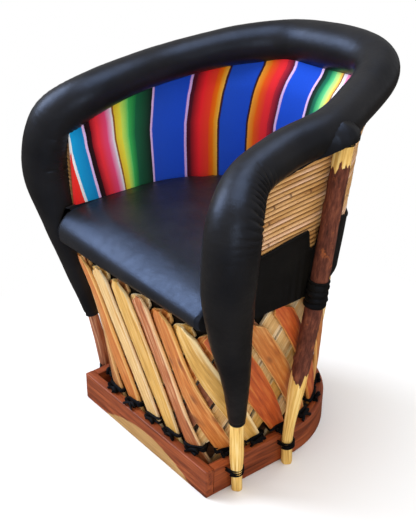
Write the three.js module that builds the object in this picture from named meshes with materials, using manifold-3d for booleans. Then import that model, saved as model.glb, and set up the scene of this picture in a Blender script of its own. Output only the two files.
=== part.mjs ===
// An equipale: a barrel chair of crossed cedar slats, bent hoops, bark posts, split reeds and padded leather.
// Millimetres, +Z up. The sitter faces -Y. Every piece is one closed solid in its own named mesh.

import * as THREE from "three";
import { mergeVertices } from "three/addons/utils/BufferGeometryUtils.js";
import Module from "manifold-3d";

const wasm = await Module();
wasm.setup();

// Clearances
const gap = 0.3; // between pieces that touch
const cutOverrun = 5; // how far a cutting tool runs past the face that it opens

// Base: a straight front board with one bent board behind it, in plan a D
const baseHalfWidth = 215;
const baseFront = 213; // from the chair's middle to the front board's face
const baseArcStart = 5; // where the straight sides begin to bend
const baseBack = 225;
const boardHeight = 64.5;
const boardThickness = 20;
const boardEdge = 3; // chamfer on the upright corners

// Lattice: two crossed layers of split cedar slats
const pairs = 20; // slats in each layer
const slatWidth = 44;
const slatThickness = 8;
const layerSpacing = 12.8; // outer face of one layer to outer face of the next
const slatFootHeight = 22; // the feet reach down inside the boards to here
const latticeCorner = 80;
const footClearance = 0.9; // from the boards round the feet, which are flat across
const headSpread = 25; // the lattice leans out this far on either side
const headHalfWidth = baseHalfWidth + headSpread;
const headFront = 235;
const headArcStart = -40;
const headBack = 212;
const headCorner = 80;
const frontHeadReach = 4.6; // places either side of the middle that count as front
const sideHeadTop = 401;
const frontHeadDrop = 19; // the heads in front are cut lower and show below the seat
const frontHeadTop = sideHeadTop - frontHeadDrop;
const headDrop = 23; // down to the height at which the head plan is measured
const headHeight = sideHeadTop - headDrop;
const headTaper = 16; // the pointed stretch of a head
const leanPitchShare = 2.5; // places that a slat moves round between foot and head
const footPhaseShare = -0.32; // hand work: the feet stand a little off centre
const headPhaseShare = 0.38;
const frontCrowdingShare = 0.12; // heads stand closer in front than behind
const slatBellyShare = 0.14; // how much the widths of split slats differ
const footWidthShares = { outer: 0.8, inner: 0.48 };
const headWidthShare = 0.7;
const broadSlat = 5; // one outer slat beside the right rear post is split much wider
const broadSlatWidth = 64;

// Hoops inside the lattice
const hoopThickness = 15;
const footHoopHeight = 34;
const hoopDrop = 1; // from the heads at the sides down to the seat's hoop
const seatHoopTop = sideHeadTop - hoopDrop;
const seatHoopHeight = 52;
const footHoopClearance = 1.8; // the slats are flat across, the hoops are round
const seatHoopClearance = 1.05;

// Seat
const slingThickness = 3;
const padThickness = 66;
const padTop = seatHoopTop + padThickness; // where the pad meets the lining
const padCrown = 8;
const crownFallShare = 0.8; // how much of the crown is gone at the sides
const padFrontReach = 250;
const padHemDrop = 2;
const padFrontHem = seatHoopTop - padHemDrop;
const padClearance = 1.8;
const padSpread = 16;
const padHalfFront = baseHalfWidth + padSpread;
const padLipRound = 26;
const wingLipShares = [1, 0.6, 0.2]; // how full the rolled lip is along a front wing
const padWingReachShare = 0.7; // where the front wings, which pass before the arms' legs, begin to thin
const padSteps = 12; // slices from the middle to the side
const padSideDraw = 5; // how far the sides are drawn in at mid height

// Back wall: reeds outside, padded cloth inside, a leather skirt round the foot
const wallRise = 2.5; // clear space over the seat's hoop
const wallFoot = seatHoopTop + wallRise;
const wallSpread = 25; // beyond the base on either side
const wallHalfWidth = baseHalfWidth + wallSpread;
const wallArcStart = -40;
const wallBack = 216;
const wallFrontEdge = -172;
const wallTop = 700; // height at which the top plan is measured
const wallTopSpread = 6;
const wallTopHalfWidth = wallHalfWidth + wallTopSpread;
const wallTopArcStart = 0;
const wallTopBack = 256;
const wallTopClearance = 1.8; // to the roll above
const bellyShare = 0.3; // how far below its axis the roll's belly meets the wall
const flareFrom = 655; // behind, the wall leans out further from here up, into the roll
const flareSlopeShare = 0.2;
const flareStartShare = 0.14; // part of the wall's run, from either front edge
const flareEndShare = 0.3;
const reedThickness = 12;
const reedRows = 16;
const reedRowHeight = 12;
const reedGrooveDepth = 3.4;
const liningThickness = 7.5;
const liningFrontEdge = -203;
const liningRise = 4; // clear space over the seat's hoop
const liningFoot = seatHoopTop + liningRise;
const liningSwellShare = 0.25; // how far the padding swells into the seat space
const liningPinchShare = 0.4;
const liningBendShare = 0.85; // height at which it starts to thin
const liningReachSteps = 2; // facets at either end over which it reaches forward past the reeds
const skirtThickness = 3;
const skirtRise = 4;
const skirtFoot = seatHoopTop + skirtRise;
const skirtHeightAtLeg = 120;
const skirtHeightAtPost = 142;
const skirtHeightAtBack = 88;
const skirtTopAtLeg = skirtFoot + skirtHeightAtLeg;
const skirtTopAtPost = skirtFoot + skirtHeightAtPost;
const skirtTopAtBack = skirtFoot + skirtHeightAtBack;
const skirtPostShare = 0.36; // part of a half run from the front edge to the rear post
const collarDrop = 30; // the skirt is drawn round the rear posts as a collar
const collarFoot = skirtFoot - collarDrop;
const collarHeight = 72;
const collarTop = collarFoot + collarHeight;
const collarBulge = 1.6;
const collarTurns = 3;

// Padded roll round back and arms, and the wood that it covers
const rollSpread = 75;
const rollReach = baseHalfWidth + rollSpread; // centre line, widest, at the arm fronts
const rollBack = 284; // centre line, furthest back
const rollHeight = 757; // centre line, highest
const rollRadius = 50;
// Right half of the roll from the middle of the back to the leg's tip: across, back, up, thickness,
// then how far the left half drops, rises, is fuller and stands out there
const rollShares = [
  [0, 0.993, 0.995, 0.94, 0, 0, 0, 0],
  [0.228, 0.998, 1, 0.928, 0.7, 0, 0, 0],
  [0.419, 0.956, 0.998, 0.9, 1, 0, 0, 0],
  [0.561, 0.788, 0.987, 0.83, 0.7, 0, 0, 0],
  [0.662, 0.556, 0.972, 0.776, 0.25, 0, 0, 0],
  [0.811, 0.126, 0.946, 0.774, 0.25, 0, 0, 0],
  [0.81, -0.209, 0.929, 0.755, 0, 0, 0.5, 0],
  [0.842, -0.533, 0.894, 0.812, 0, 0.75, 1, 0],
  [0.884, -0.618, 0.877, 0.869, 0, 0.6, 0.7, 0],
  [0.932, -0.694, 0.855, 0.935, 0, 0.4, 0.2, 0],
  [0.968, -0.744, 0.833, 0.975, 0, 0, 0, 0],
  [1, -0.806, 0.711, 0.98, 0, 0, 0, 0],
  [0.949, -0.749, 0.569, 0.836, 0, 0, 0, 0],
  [0.915, -0.654, 0.384, 0.52, 0, 0.5, 0, 0.25],
  [0.824, -0.556, 0.201, 0.303, 0, 0.8, 0, 1],
];
const leftBackDrop = 16; // bent by hand: the left half sits lower behind
const leftArmRise = 5; // and stands higher at the arm
const leftArmFullness = 3; // with more padding there
const leftTipOut = 11; // and its leg stands further out
const frontPostRadius = 12;
const frontPostFootY = -144;
const rollAxisCuts = 400;
const coreLengthCuts = 800;
const rimHoopRadius = 11;
const rimJointShare = 0.262; // where the front posts meet the rim hoop, along the core
const boreClearance = 0.6;

// Rear posts: bark-covered sticks outside the wall
const rearPostRadius = 17.5;
const rearPostFootRadius = 11.5;
const rearPostFootY = -10;
const rearPostBoardY = -12;
const rearPostKneeY = 2;
const rearPostSeatY = 3;
const rearPostHeadY = 37;
const rearPostDrop = 78; // from the roll's highest centre down to the posts' heads
const rearPostTop = rollHeight - rearPostDrop;
const leftPostDrop = 8; // the left post ends lower, under a fuller arm
const rearPostKneeHeight = 290;
const rearPostSwellShare = 0.75; // part of the way to the knee by which a post has its full thickness
const rearPostSeatShare = 0.75; // how high up its collar a post stands closest to the seat
const rearPostLeanShare = 0.4; // part of its lean back that it has at the skirt's top

// Thongs
const thongRadius = 3;
const knotCorner = 2.5;
const knotSlack = 1.5; // sideways, so that the thong clears the slats' corners
const knotRise = 1.2; // clear space between the two turns of a knot
const lashingRadius = 2.4;
const lashingTurns = 3;
const lashingSpacing = 0.8; // clear space between turns
const lashingDepth = 6; // from the board's top edge down to the first turn
const lashingCorner = 2;
const lashingSlack = 1; // the winding stands clear of a post that leans

// Counts of facets
const planSteps = 60;
const wallSteps = 36;
const coreSteps = 62;
const rollSides = 14;
const coreSides = 8;
const thongSides = 5;
const postSteps = 11;
const postSides = 12;

const leather = 0x1b1c1e;
const colours = {
  leather,
  leatherFolded: 0x151515,
  bark: 0x5d3328,
  peeled: 0xd8a85c,
  heartwood: 0x8a4028,
  reed: 0xc3975c,
  sarape: 0x1f45b4,
  rawhide: 0x9c7a52,
};
const slatColourStride = 3;
const slatColours = [0xc98a48, 0xd9b06a, 0xe0bd7c, 0xb06038, 0xc8702c, 0xd8a058];

// Small helpers

const lerp = THREE.MathUtils.lerp;
const smooth = THREE.MathUtils.smoothstep;

// A repeatable number from -1 to 1 that stands for what differs from one split piece to the next.
const handStride = 12.9898;
const handStart = 4.1414;
const handScatter = 43758.5453;

function handShare(seed) {
  const wave = Math.sin(seed * handStride + handStart) * handScatter;
  return 2 * (wave - Math.floor(wave)) - 1;
}

function closedGeometry(points, faces) {
  let volume = 0;
  for (const [a, b, c] of faces) {
    volume += points[a].dot(new THREE.Vector3().crossVectors(points[b], points[c]));
  }
  const outward = volume < 0 ? faces.map(([a, b, c]) => [a, c, b]) : faces;
  const geometry = new THREE.BufferGeometry().setFromPoints(points);
  geometry.setIndex(outward.flat());
  geometry.computeVertexNormals();
  return geometry;
}

// Joins rings of points into the side faces of a tube.
function sideFaces(faces, ringCount, size, start, loop = false) {
  const spans = loop ? ringCount : ringCount - 1;
  for (let i = 0; i < spans; i += 1) {
    const here = start + i * size;
    const next = start + ((i + 1) % ringCount) * size;
    for (let j = 0; j < size; j += 1) {
      const k = (j + 1) % size;
      faces.push([here + j, next + j, next + k], [here + j, next + k, here + k]);
    }
  }
}

// A tube from rings of points, with flat ends. The cap outline says how to fill an end that isn't convex.
function loft(rings, capOutline) {
  const size = rings[0].length;
  const points = rings.flat();
  const faces = [];
  sideFaces(faces, rings.length, size, 0);
  const outline = capOutline ?? rings[0].map((_, j) => {
    const angle = (2 * Math.PI * j) / size;
    return new THREE.Vector2(Math.cos(angle), Math.sin(angle));
  });
  const fill = THREE.ShapeUtils.triangulateShape(outline, []);
  const last = (rings.length - 1) * size;
  // The side faces run from ring to ring with the ring's own turn, so the start cap keeps it and the end turns back.
  const turn = THREE.ShapeUtils.isClockWise(outline) ? -1 : 1;
  for (const [a, b, c] of fill) {
    const triangle = turn > 0 ? [a, b, c] : [a, c, b];
    faces.push(triangle);
    faces.push([last + triangle[0], last + triangle[2], last + triangle[1]]);
  }
  return closedGeometry(points, faces);
}

// A closed band: the last ring joins the first.
function band(rings) {
  const faces = [];
  sideFaces(faces, rings.length, rings[0].length, 0, true);
  return closedGeometry(rings.flat(), faces);
}

// A tube with a bore. Both ends are flat rings.
function hollowLoft(outerRings, boreRings) {
  const outerSize = outerRings[0].length;
  const boreSize = boreRings[0].length;
  const boreStart = outerRings.length * outerSize;
  const points = [...outerRings.flat(), ...boreRings.flat()];
  const faces = [];
  sideFaces(faces, outerRings.length, outerSize, 0);
  const boreFaces = [];
  sideFaces(boreFaces, boreRings.length, boreSize, boreStart);
  faces.push(...boreFaces.map(([a, b, c]) => [a, c, b]));
  const unitRing = (size, radius) => Array.from({ length: size }, (_, j) => {
    const angle = (2 * Math.PI * j) / size;
    return new THREE.Vector2(radius * Math.cos(angle), radius * Math.sin(angle));
  });
  const fill = THREE.ShapeUtils.triangulateShape(unitRing(outerSize, 2), [unitRing(boreSize, 1)]);
  const outerLast = (outerRings.length - 1) * outerSize;
  const boreLast = (boreRings.length - 1) * boreSize;
  const atStart = (k) => (k < outerSize ? k : boreStart + k - outerSize);
  const atEnd = (k) => (k < outerSize ? outerLast + k : boreStart + boreLast + k - outerSize);
  for (const [a, b, c] of fill) {
    faces.push([atStart(a), atStart(b), atStart(c)]);
    faces.push([atEnd(a), atEnd(c), atEnd(b)]);
  }
  return closedGeometry(points, faces);
}

function toSolid(geometry) {
  const bare = geometry.clone();
  bare.deleteAttribute("normal");
  bare.deleteAttribute("uv");
  const merged = mergeVertices(bare);
  const vertProperties = new Float32Array(merged.getAttribute("position").array);
  const triVerts = new Uint32Array(merged.getIndex().array);
  return new wasm.Manifold(new wasm.Mesh({ numProp: 3, vertProperties, triVerts }));
}

function toGeometry(body) {
  const mesh = body.getMesh();
  const geometry = new THREE.BufferGeometry();
  geometry.setAttribute("position", new THREE.BufferAttribute(Float32Array.from(mesh.vertProperties), 3));
  geometry.setIndex(new THREE.BufferAttribute(Uint32Array.from(mesh.triVerts), 1));
  geometry.computeVertexNormals();
  return geometry;
}

// Circle of points square to a direction. The first point lies on the side that the reference points to.
function circle(centre, direction, reference, radius, sides) {
  const across = new THREE.Vector3().crossVectors(direction, reference).normalize();
  const along = new THREE.Vector3().crossVectors(across, direction).normalize();
  return Array.from({ length: sides }, (_, j) => {
    const angle = (2 * Math.PI * j) / sides;
    return centre.clone()
      .addScaledVector(along, radius * Math.cos(angle))
      .addScaledVector(across, radius * Math.sin(angle));
  });
}

// One unbroken tube through a list of points, with its section square to the mean direction at each.
function wire(points, radius, sides, reference) {
  return loft(points.map((point, i) => {
    const before = points[Math.max(i - 1, 0)];
    const after = points[Math.min(i + 1, points.length - 1)];
    const direction = new THREE.Vector3()
      .add(new THREE.Vector3().subVectors(point, before).normalize())
      .add(new THREE.Vector3().subVectors(after, point).normalize())
      .normalize();
    return circle(point, direction, reference, radius, sides);
  }));
}

const selfGapCuts = 4; // places measured between two points of a wire

// Least clear space between stretches of one wire that aren't neighbours, measured on its points.
function leastSelfGap(points, radius, neighbours) {
  const fine = [];
  for (let i = 0; i + 1 < points.length; i += 1) {
    for (let k = 0; k < selfGapCuts; k += 1) {
      fine.push(new THREE.Vector3().lerpVectors(points[i], points[i + 1], k / selfGapCuts));
    }
  }
  let least = Infinity;
  for (let i = 0; i < fine.length; i += 1) {
    for (let j = i + neighbours * selfGapCuts; j < fine.length; j += 1) {
      least = Math.min(least, fine[i].distanceTo(fine[j]) - 2 * radius);
    }
  }
  return least;
}

const upward = new THREE.Vector3(0, 0, 1);
const sideways = new THREE.Vector3(1, 0, 0);

// Plans

// A D in plan, run through from the middle of its front towards +X and round the back.
function plan({ halfWidth, front, arcStart, back, corner }) {
  const path = new THREE.Path();
  path.moveTo(0, -front);
  path.lineTo(halfWidth - corner, -front);
  path.absarc(halfWidth - corner, corner - front, corner, -Math.PI / 2, 0, false);
  path.lineTo(halfWidth, arcStart);
  path.absellipse(0, arcStart, halfWidth, back - arcStart, 0, Math.PI, false, 0);
  path.lineTo(-halfWidth, corner - front);
  path.absarc(corner - halfWidth, corner - front, corner, Math.PI, 1.5 * Math.PI, false);
  path.lineTo(0, -front);
  return path;
}

// The same D without its front: from the right end of the opening round the back to the left end.
function openPlan({ halfWidth, frontEdge, arcStart, back }) {
  const path = new THREE.Path();
  path.moveTo(halfWidth, frontEdge);
  path.lineTo(halfWidth, arcStart);
  path.absellipse(0, arcStart, halfWidth, back - arcStart, 0, Math.PI, false, 0);
  path.lineTo(-halfWidth, frontEdge);
  return path;
}

function onPath(path, share) {
  const point = path.getPoint(share);
  const tangent = path.getTangent(share);
  return { point, outward: new THREE.Vector2(tangent.y, -tangent.x) };
}

// Base boards

const boardInside = { halfWidth: baseHalfWidth - boardThickness, front: baseFront - boardThickness };
const boardJoint = -boardInside.front + gap; // the bent board's ends stand behind the front board

function frontBoardGeometry() {
  const shape = new THREE.Shape();
  shape.moveTo(-baseHalfWidth + boardEdge, -baseFront);
  shape.lineTo(baseHalfWidth - boardEdge, -baseFront);
  shape.lineTo(baseHalfWidth, -baseFront + boardEdge);
  shape.lineTo(baseHalfWidth, -boardInside.front);
  shape.lineTo(-baseHalfWidth, -boardInside.front);
  shape.lineTo(-baseHalfWidth, -baseFront + boardEdge);
  shape.closePath();
  return new THREE.ExtrudeGeometry(shape, { depth: boardHeight, bevelEnabled: false });
}

function bentBoardGeometry() {
  const outer = openPlan({
    halfWidth: baseHalfWidth, frontEdge: boardJoint, arcStart: baseArcStart, back: baseBack,
  });
  const inner = openPlan({
    halfWidth: boardInside.halfWidth, frontEdge: boardJoint, arcStart: baseArcStart,
    back: baseBack - boardThickness,
  });
  const steps = Array.from({ length: planSteps + 1 }, (_, i) => i / planSteps);
  const outline = steps.map((s) => outer.getPoint(s));
  outline.push(...steps.map((s) => inner.getPoint(1 - s)));
  const board = new THREE.ExtrudeGeometry(new THREE.Shape(outline), { depth: boardHeight, bevelEnabled: false });
  let body = toSolid(board);
  for (const post of lashedPosts) {
    body = body.subtract(toSolid(lashingSlot(post)));
  }
  return toGeometry(body);
}

// Lattice of slats

const footPlan = plan({
  halfWidth: boardInside.halfWidth - footClearance,
  front: boardInside.front - footClearance,
  arcStart: baseArcStart,
  back: baseBack - boardThickness - footClearance,
  corner: latticeCorner,
});
const headPlan = plan({
  halfWidth: headHalfWidth, front: headFront, arcStart: headArcStart, back: headBack, corner: headCorner,
});
const knotHeight = boardHeight + gap + thongRadius;
const knotClearHeight = 2 * thongRadius + knotRise;

function wrapped(share) {
  return share - Math.floor(share);
}

// A point of the lattice: its place round the chair in pitches, its height, its depth in from the outer face.
function latticePoint(place, height, depth) {
  const level = (height - knotHeight) / (headHeight - knotHeight);
  const headPlace = place + headPhaseShare;
  const footShare = (place + footPhaseShare) / pairs;
  const crowding = (frontCrowdingShare * Math.sin((2 * Math.PI * headPlace) / pairs)) / (2 * Math.PI);
  const foot = onPath(footPlan, wrapped(footShare));
  const head = onPath(headPlan, wrapped(headPlace / pairs - crowding));
  const outward = foot.outward.clone().lerp(head.outward, level).normalize();
  const point = foot.point.clone().lerp(head.point, level).addScaledVector(outward, -depth);
  return new THREE.Vector3(point.x, point.y, height);
}

function pitchAt(place, height) {
  const span = 0.1;
  return latticePoint(place - span / 2, height, 0).distanceTo(latticePoint(place + span / 2, height, 0)) / span;
}

const leanAngle = Math.atan((leanPitchShare * pitchAt(0, headHeight / 2)) / (headHeight - knotHeight));
const layerDepths = { outer: 0, inner: layerSpacing };

// Stretches of a slat from its foot knot to its head, and how far its width has grown there
const slatRunShares = [0.2, 0.42, 0.64, 0.84];
const slatGrowthShares = [0.5, 0.8, 1, 1];
const slatStrips = 2; // flat strips that a slat's face is made of across

function slatGeometry(number, layer) {
  const turn = layer === "outer" ? -1 : 1;
  const seed = number + (layer === "outer" ? 0 : pairs);
  const footPlace = number + 0.5;
  const headPlace = wrapped((footPlace + turn * leanPitchShare) / pairs + 0.5) * pairs - pairs / 2;
  const top = Math.abs(headPlace) < frontHeadReach ? frontHeadTop : sideHeadTop;
  const isBroad = layer === "outer" && number === broadSlat;
  const belly = isBroad ? broadSlatWidth : slatWidth * (1 + slatBellyShare * handShare(seed));
  const footWidth = slatWidth * footWidthShares[layer];
  const strips = isBroad ? 2 * slatStrips : slatStrips;
  const stations = [
    [slatFootHeight, footWidth],
    [knotHeight + knotClearHeight, footWidth],
    ...slatRunShares.map((run, i) => [
      lerp(knotHeight, top - headTaper, run),
      lerp(footWidth, belly, slatGrowthShares[i]),
    ]),
    [top - headTaper, isBroad ? belly : slatWidth],
    [top, slatWidth * headWidthShare],
  ];
  const depth = layerDepths[layer];
  return loft(stations.map(([height, width]) => {
    const place = footPlace + (turn * leanPitchShare * (height - knotHeight)) / (headHeight - knotHeight);
    const half = width / 2 / Math.cos(leanAngle) / pitchAt(place, height);
    const across = Array.from({ length: strips + 1 }, (_, i) => place + half * ((2 * i) / strips - 1));
    return [
      ...across.map((at) => latticePoint(at, height, depth)),
      ...across.reverse().map((at) => latticePoint(at, height, depth + slatThickness)),
    ];
  }));
}

// Hoops that the slats stand against, bent to the lattice's own shape
const latticeDepth = layerSpacing + slatThickness;

function latticeHoopGeometry(top, height, clearance) {
  const rings = [];
  for (let i = 0; i < planSteps; i += 1) {
    const place = (i * pairs) / planSteps;
    const outside = latticeDepth + clearance;
    rings.push([
      latticePoint(place, top - height, outside),
      latticePoint(place, top, outside),
      latticePoint(place, top, outside + hoopThickness),
      latticePoint(place, top - height, outside + hoopThickness),
    ]);
  }
  return band(rings);
}

// Leather thong that ties each crossing of two feet, two turns a knot, one run round the chair

function knotPoints(number) {
  const place = number + 0.5;
  const step = 0.05;
  const along = latticePoint(place + step, knotHeight, 0).sub(latticePoint(place - step, knotHeight, 0)).normalize();
  const outward = new THREE.Vector3(along.y, -along.x, 0);
  const rise = knotClearHeight;
  const outerHalf = (slatWidth * footWidthShares.outer) / 2 / Math.cos(leanAngle);
  const innerHalf = (slatWidth * footWidthShares.inner) / 2 / Math.cos(leanAngle);
  const leaning = Math.tan(leanAngle);
  const clear = gap + thongRadius;
  const beside = clear + knotSlack + thongRadius * leaning;
  // Going up, the outer slat moves to the left and the inner one to the right, while the thong climbs
  const right = outerHalf + beside;
  const rightRear = innerHalf + beside + rise * leaning;
  const left = -(outerHalf + beside + rise * leaning);
  const leftRear = -(innerHalf + beside);
  const front = clear;
  const rear = -(latticeDepth + clear + knotRise);
  const corner = knotCorner;
  const turn = [
    [left + corner, front],
    [right - corner, front],
    [right, front - corner],
    [rightRear, rear + corner],
    [rightRear - corner, rear],
    [leftRear + corner, rear],
    [left + knotSlack, -(slatThickness + clear)],
    [left, front - corner],
    [left + corner, front],
    [right - corner, front],
  ];
  // The thong climbs behind the slats at one knot and comes down behind them at the next
  const climbFrom = 3;
  const climbTo = 6;
  const points = turn.map(([across, outwards], i) => {
    const climbed = THREE.MathUtils.clamp((i - climbFrom) / (climbTo - climbFrom), 0, 1);
    const level = number % 2 ? 1 - climbed : climbed;
    return latticePoint(place, knotHeight + rise * level, 0)
      .addScaledVector(along, across)
      .addScaledVector(outward, outwards);
  });
  if (number < pairs - 1) {
    const level = number % 2 ? 0 : 1;
    points.push(latticePoint(place + 0.5, knotHeight + rise * level, -(clear + knotSlack)));
  }
  return points;
}

const baseThongPoints = Array.from({ length: pairs }, (_, i) => knotPoints(i)).flat();
console.log("base_thong least self gap", leastSelfGap(baseThongPoints, thongRadius, 3).toFixed(2));

// Padded roll and its core

const coreFootX = baseHalfWidth + gap + frontPostRadius;

function rollHalf(side) {
  const left = side < 0 ? 1 : 0;
  return rollShares.map(([across, back, up, thick, drop, rise, fuller, out]) => ({
    point: new THREE.Vector3(
      side * (across * rollReach + left * out * leftTipOut),
      back * rollBack,
      up * rollHeight + left * (rise * leftArmRise - drop * leftBackDrop),
    ),
    radius: thick * rollRadius + left * fuller * leftArmFullness,
  }));
}

function coreFoot(side) {
  return { point: new THREE.Vector3(side * coreFootX, frontPostFootY, 0), radius: frontPostRadius };
}

const coreControls = [
  coreFoot(-1),
  ...rollHalf(-1).reverse(),
  ...rollHalf(1).slice(1),
  coreFoot(1),
];
const coreCurve = new THREE.CatmullRomCurve3(coreControls.map((c) => c.point), false, "centripetal");
coreCurve.arcLengthDivisions = coreLengthCuts;
const coreFrames = coreCurve.computeFrenetFrames(coreSteps, false);
const lastControl = coreControls.length - 1;

// Share of the core's length at which a control point lies
function lengthShareOfControl(index) {
  const lengths = coreCurve.getLengths();
  const at = lengths[Math.round((index / lastControl) * (lengths.length - 1))];
  return at / lengths[lengths.length - 1];
}

function rollRadiusAt(share) {
  const t = coreCurve.getUtoTmapping(share) * lastControl;
  const index = Math.min(Math.floor(t), lastControl - 1);
  return lerp(coreControls[index].radius, coreControls[index + 1].radius, smooth(t - index, 0, 1));
}

const tipStep = Math.round(lengthShareOfControl(1) * coreSteps);
const jointStep = Math.round(rimJointShare * coreSteps);

function coreRing(step, radius, sides, slide = 0) {
  const share = step / coreSteps;
  const centre = coreCurve.getPointAt(share).addScaledVector(coreFrames.tangents[step], slide);
  return Array.from({ length: sides }, (_, j) => {
    const angle = (2 * Math.PI * j) / sides;
    return centre.clone()
      .addScaledVector(coreFrames.normals[step], radius * Math.cos(angle))
      .addScaledVector(coreFrames.binormals[step], radius * Math.sin(angle));
  });
}

function coreRings(from, to, radiusAt, sides) {
  const rings = [];
  for (let step = from; step <= to; step += 1) {
    rings.push(coreRing(step, radiusAt(step), sides));
  }
  return rings;
}

const boreRadius = frontPostRadius + boreClearance;

function rollOuterRings(extra) {
  return coreRings(tipStep, coreSteps - tipStep, (step) => rollRadiusAt(step / coreSteps) + extra, rollSides);
}

function rollGeometry() {
  return hollowLoft(rollOuterRings(0), coreRings(tipStep, coreSteps - tipStep, () => boreRadius, coreSides));
}

const rollClearance = toSolid(loft(rollOuterRings(gap)));

// The front posts stand on the floor, run up inside the leather and meet the rim hoop end to end.
function frontPostGeometry(side) {
  const from = side < 0 ? 0 : coreSteps - jointStep;
  const to = side < 0 ? jointStep : coreSteps;
  const rings = coreRings(from, to, () => frontPostRadius, coreSides);
  const foot = side < 0 ? rings[0] : rings[rings.length - 1];
  for (const point of foot) {
    point.z = 0;
  }
  return loft(rings);
}

function rimHoopGeometry() {
  const rings = coreRings(jointStep + 1, coreSteps - jointStep - 1, () => rimHoopRadius, coreSides);
  rings.unshift(coreRing(jointStep, rimHoopRadius, coreSides, gap));
  rings.push(coreRing(coreSteps - jointStep, rimHoopRadius, coreSides, -gap));
  return loft(rings);
}

// How far a point lies outside the roll
const rollAxis = Array.from({ length: coreSteps + 1 }, (_, i) => ({
  point: coreCurve.getPointAt(i / coreSteps),
  radius: rollRadiusAt(i / coreSteps),
})).slice(tipStep, coreSteps - tipStep + 1);

function distanceFromRoll(point) {
  let least = Infinity;
  const segment = new THREE.Line3();
  const nearest = new THREE.Vector3();
  for (let i = 0; i + 1 < rollAxis.length; i += 1) {
    segment.set(rollAxis[i].point, rollAxis[i + 1].point);
    const along = segment.closestPointToPointParameter(point, true);
    segment.at(along, nearest);
    const radius = lerp(rollAxis[i].radius, rollAxis[i + 1].radius, along);
    least = Math.min(least, nearest.distanceTo(point) - radius);
  }
  return least;
}

// The height at which an upright line from below meets the roll. Where it passes beside, it ends at the roll's belly.
function heightUnderRoll(x, y, from) {
  const isClear = (height) => distanceFromRoll(new THREE.Vector3(x, y, height)) > wallTopClearance;
  let belly = rollHeight;
  let nearest = Infinity;
  for (const { point, radius } of rollAxis) {
    const away = Math.hypot(point.x - x, point.y - y);
    if (point.z > from && away < nearest) {
      nearest = away;
      belly = point.z - radius * bellyShare;
    }
  }
  let low = from;
  let high = belly;
  if (isClear(belly)) {
    return belly;
  }
  while (high - low > gap) {
    const middle = (low + high) / 2;
    if (isClear(middle)) {
      low = middle;
    } else {
      high = middle;
    }
  }
  return low;
}

// Back wall

const wallFootPlan = openPlan({
  halfWidth: wallHalfWidth, frontEdge: wallFrontEdge, arcStart: wallArcStart, back: wallBack,
});
const wallTopPlan = openPlan({
  halfWidth: wallTopHalfWidth, frontEdge: wallFrontEdge, arcStart: wallTopArcStart, back: wallTopBack,
});

// A point of the wall: share of the run from the right front edge to the left, height, distance out from its middle
function wallPoint(share, height, out) {
  const level = (height - wallFoot) / (wallTop - wallFoot);
  const foot = onPath(wallFootPlan, share);
  const top = onPath(wallTopPlan, share);
  const outward = foot.outward.clone().lerp(top.outward, level).normalize();
  const behind = smooth(Math.min(share, 1 - share), flareStartShare, flareEndShare);
  const flare = Math.max(0, height - flareFrom) * flareSlopeShare * behind;
  const point = foot.point.clone().lerp(top.point, level).addScaledVector(outward, out + flare);
  return new THREE.Vector3(point.x, point.y, height);
}

const wallTopPasses = 3;

function wallTopAt(share, out) {
  let height = wallTop;
  for (let pass = 0; pass < wallTopPasses; pass += 1) {
    const point = wallPoint(share, height, out);
    height = heightUnderRoll(point.x, point.y, skirtTopAtBack);
  }
  return height;
}

const wallShares = Array.from({ length: wallSteps + 1 }, (_, i) => i / wallSteps);

// Horizontal split reeds lashed side by side: rounded rows outside, flat inside
function reedWallGeometry() {
  const outerFace = reedThickness / 2;
  const rings = wallShares.map((share) => {
    const top = wallTopAt(share, outerFace);
    const ring = [wallPoint(share, wallFoot, -outerFace), wallPoint(share, wallFoot, outerFace)];
    const firstRow = top - reedRows * reedRowHeight;
    for (let row = 0; row < reedRows; row += 1) {
      const low = firstRow + row * reedRowHeight;
      ring.push(wallPoint(share, low, outerFace - reedGrooveDepth));
      ring.push(wallPoint(share, low + reedRowHeight / 2, outerFace));
    }
    ring.push(wallPoint(share, top, outerFace - reedGrooveDepth));
    ring.push(wallPoint(share, wallTopAt(share, -outerFace), -outerFace));
    return ring;
  });
  const outline = rings[0].map((_, i) => {
    const last = rings[0].length - 1;
    if (i === 0 || i === last) {
      return new THREE.Vector2(-1, i / last);
    }
    return new THREE.Vector2(i % 2 ? 1 : 0.5, i / last);
  });
  return loft(rings, outline);
}

const reedOutside = reedThickness / 2;
const liningOutside = -reedThickness / 2 - 2 * gap;
const liningInside = liningOutside - liningThickness;
const liningSwell = liningThickness * liningSwellShare;

// Striped cloth over thin padding, stretched round the inside from arm to arm and pinched thin at its top
function liningGeometry() {
  const pinched = liningOutside - liningThickness * liningPinchShare;
  const rings = wallShares.map((share) => {
    const outerTop = wallTopAt(share, liningOutside);
    const innerTop = wallTopAt(share, pinched);
    const bend = Math.min(flareFrom, lerp(liningFoot, Math.min(outerTop, innerTop), liningBendShare));
    const ring = [
      wallPoint(share, outerTop, liningOutside),
      wallPoint(share, bend, liningOutside),
      wallPoint(share, liningFoot, liningOutside),
      wallPoint(share, liningFoot, liningInside),
      wallPoint(share, (liningFoot + bend) / 2, liningInside - liningSwell),
      wallPoint(share, bend, liningInside),
      wallPoint(share, innerTop, pinched),
    ];
    const forward = Math.max(0, 1 - Math.min(share, 1 - share) * wallSteps / liningReachSteps);
    for (const point of ring) {
      point.y -= forward * (wallFrontEdge - liningFrontEdge);
    }
    return ring;
  });
  return toGeometry(toSolid(loft(rings)).subtract(rollClearance));
}

// Leather skirt outside the reeds, with a collar drawn round each rear post

function skirtTop(share) {
  const fromFront = Math.min(share, 1 - share) * 2;
  const toPost = smooth(fromFront, 0, skirtPostShare);
  const toBack = smooth(fromFront, skirtPostShare, skirtPostShare * 2);
  return lerp(lerp(skirtTopAtLeg, skirtTopAtPost, toPost), skirtTopAtBack, toBack);
}

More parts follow.
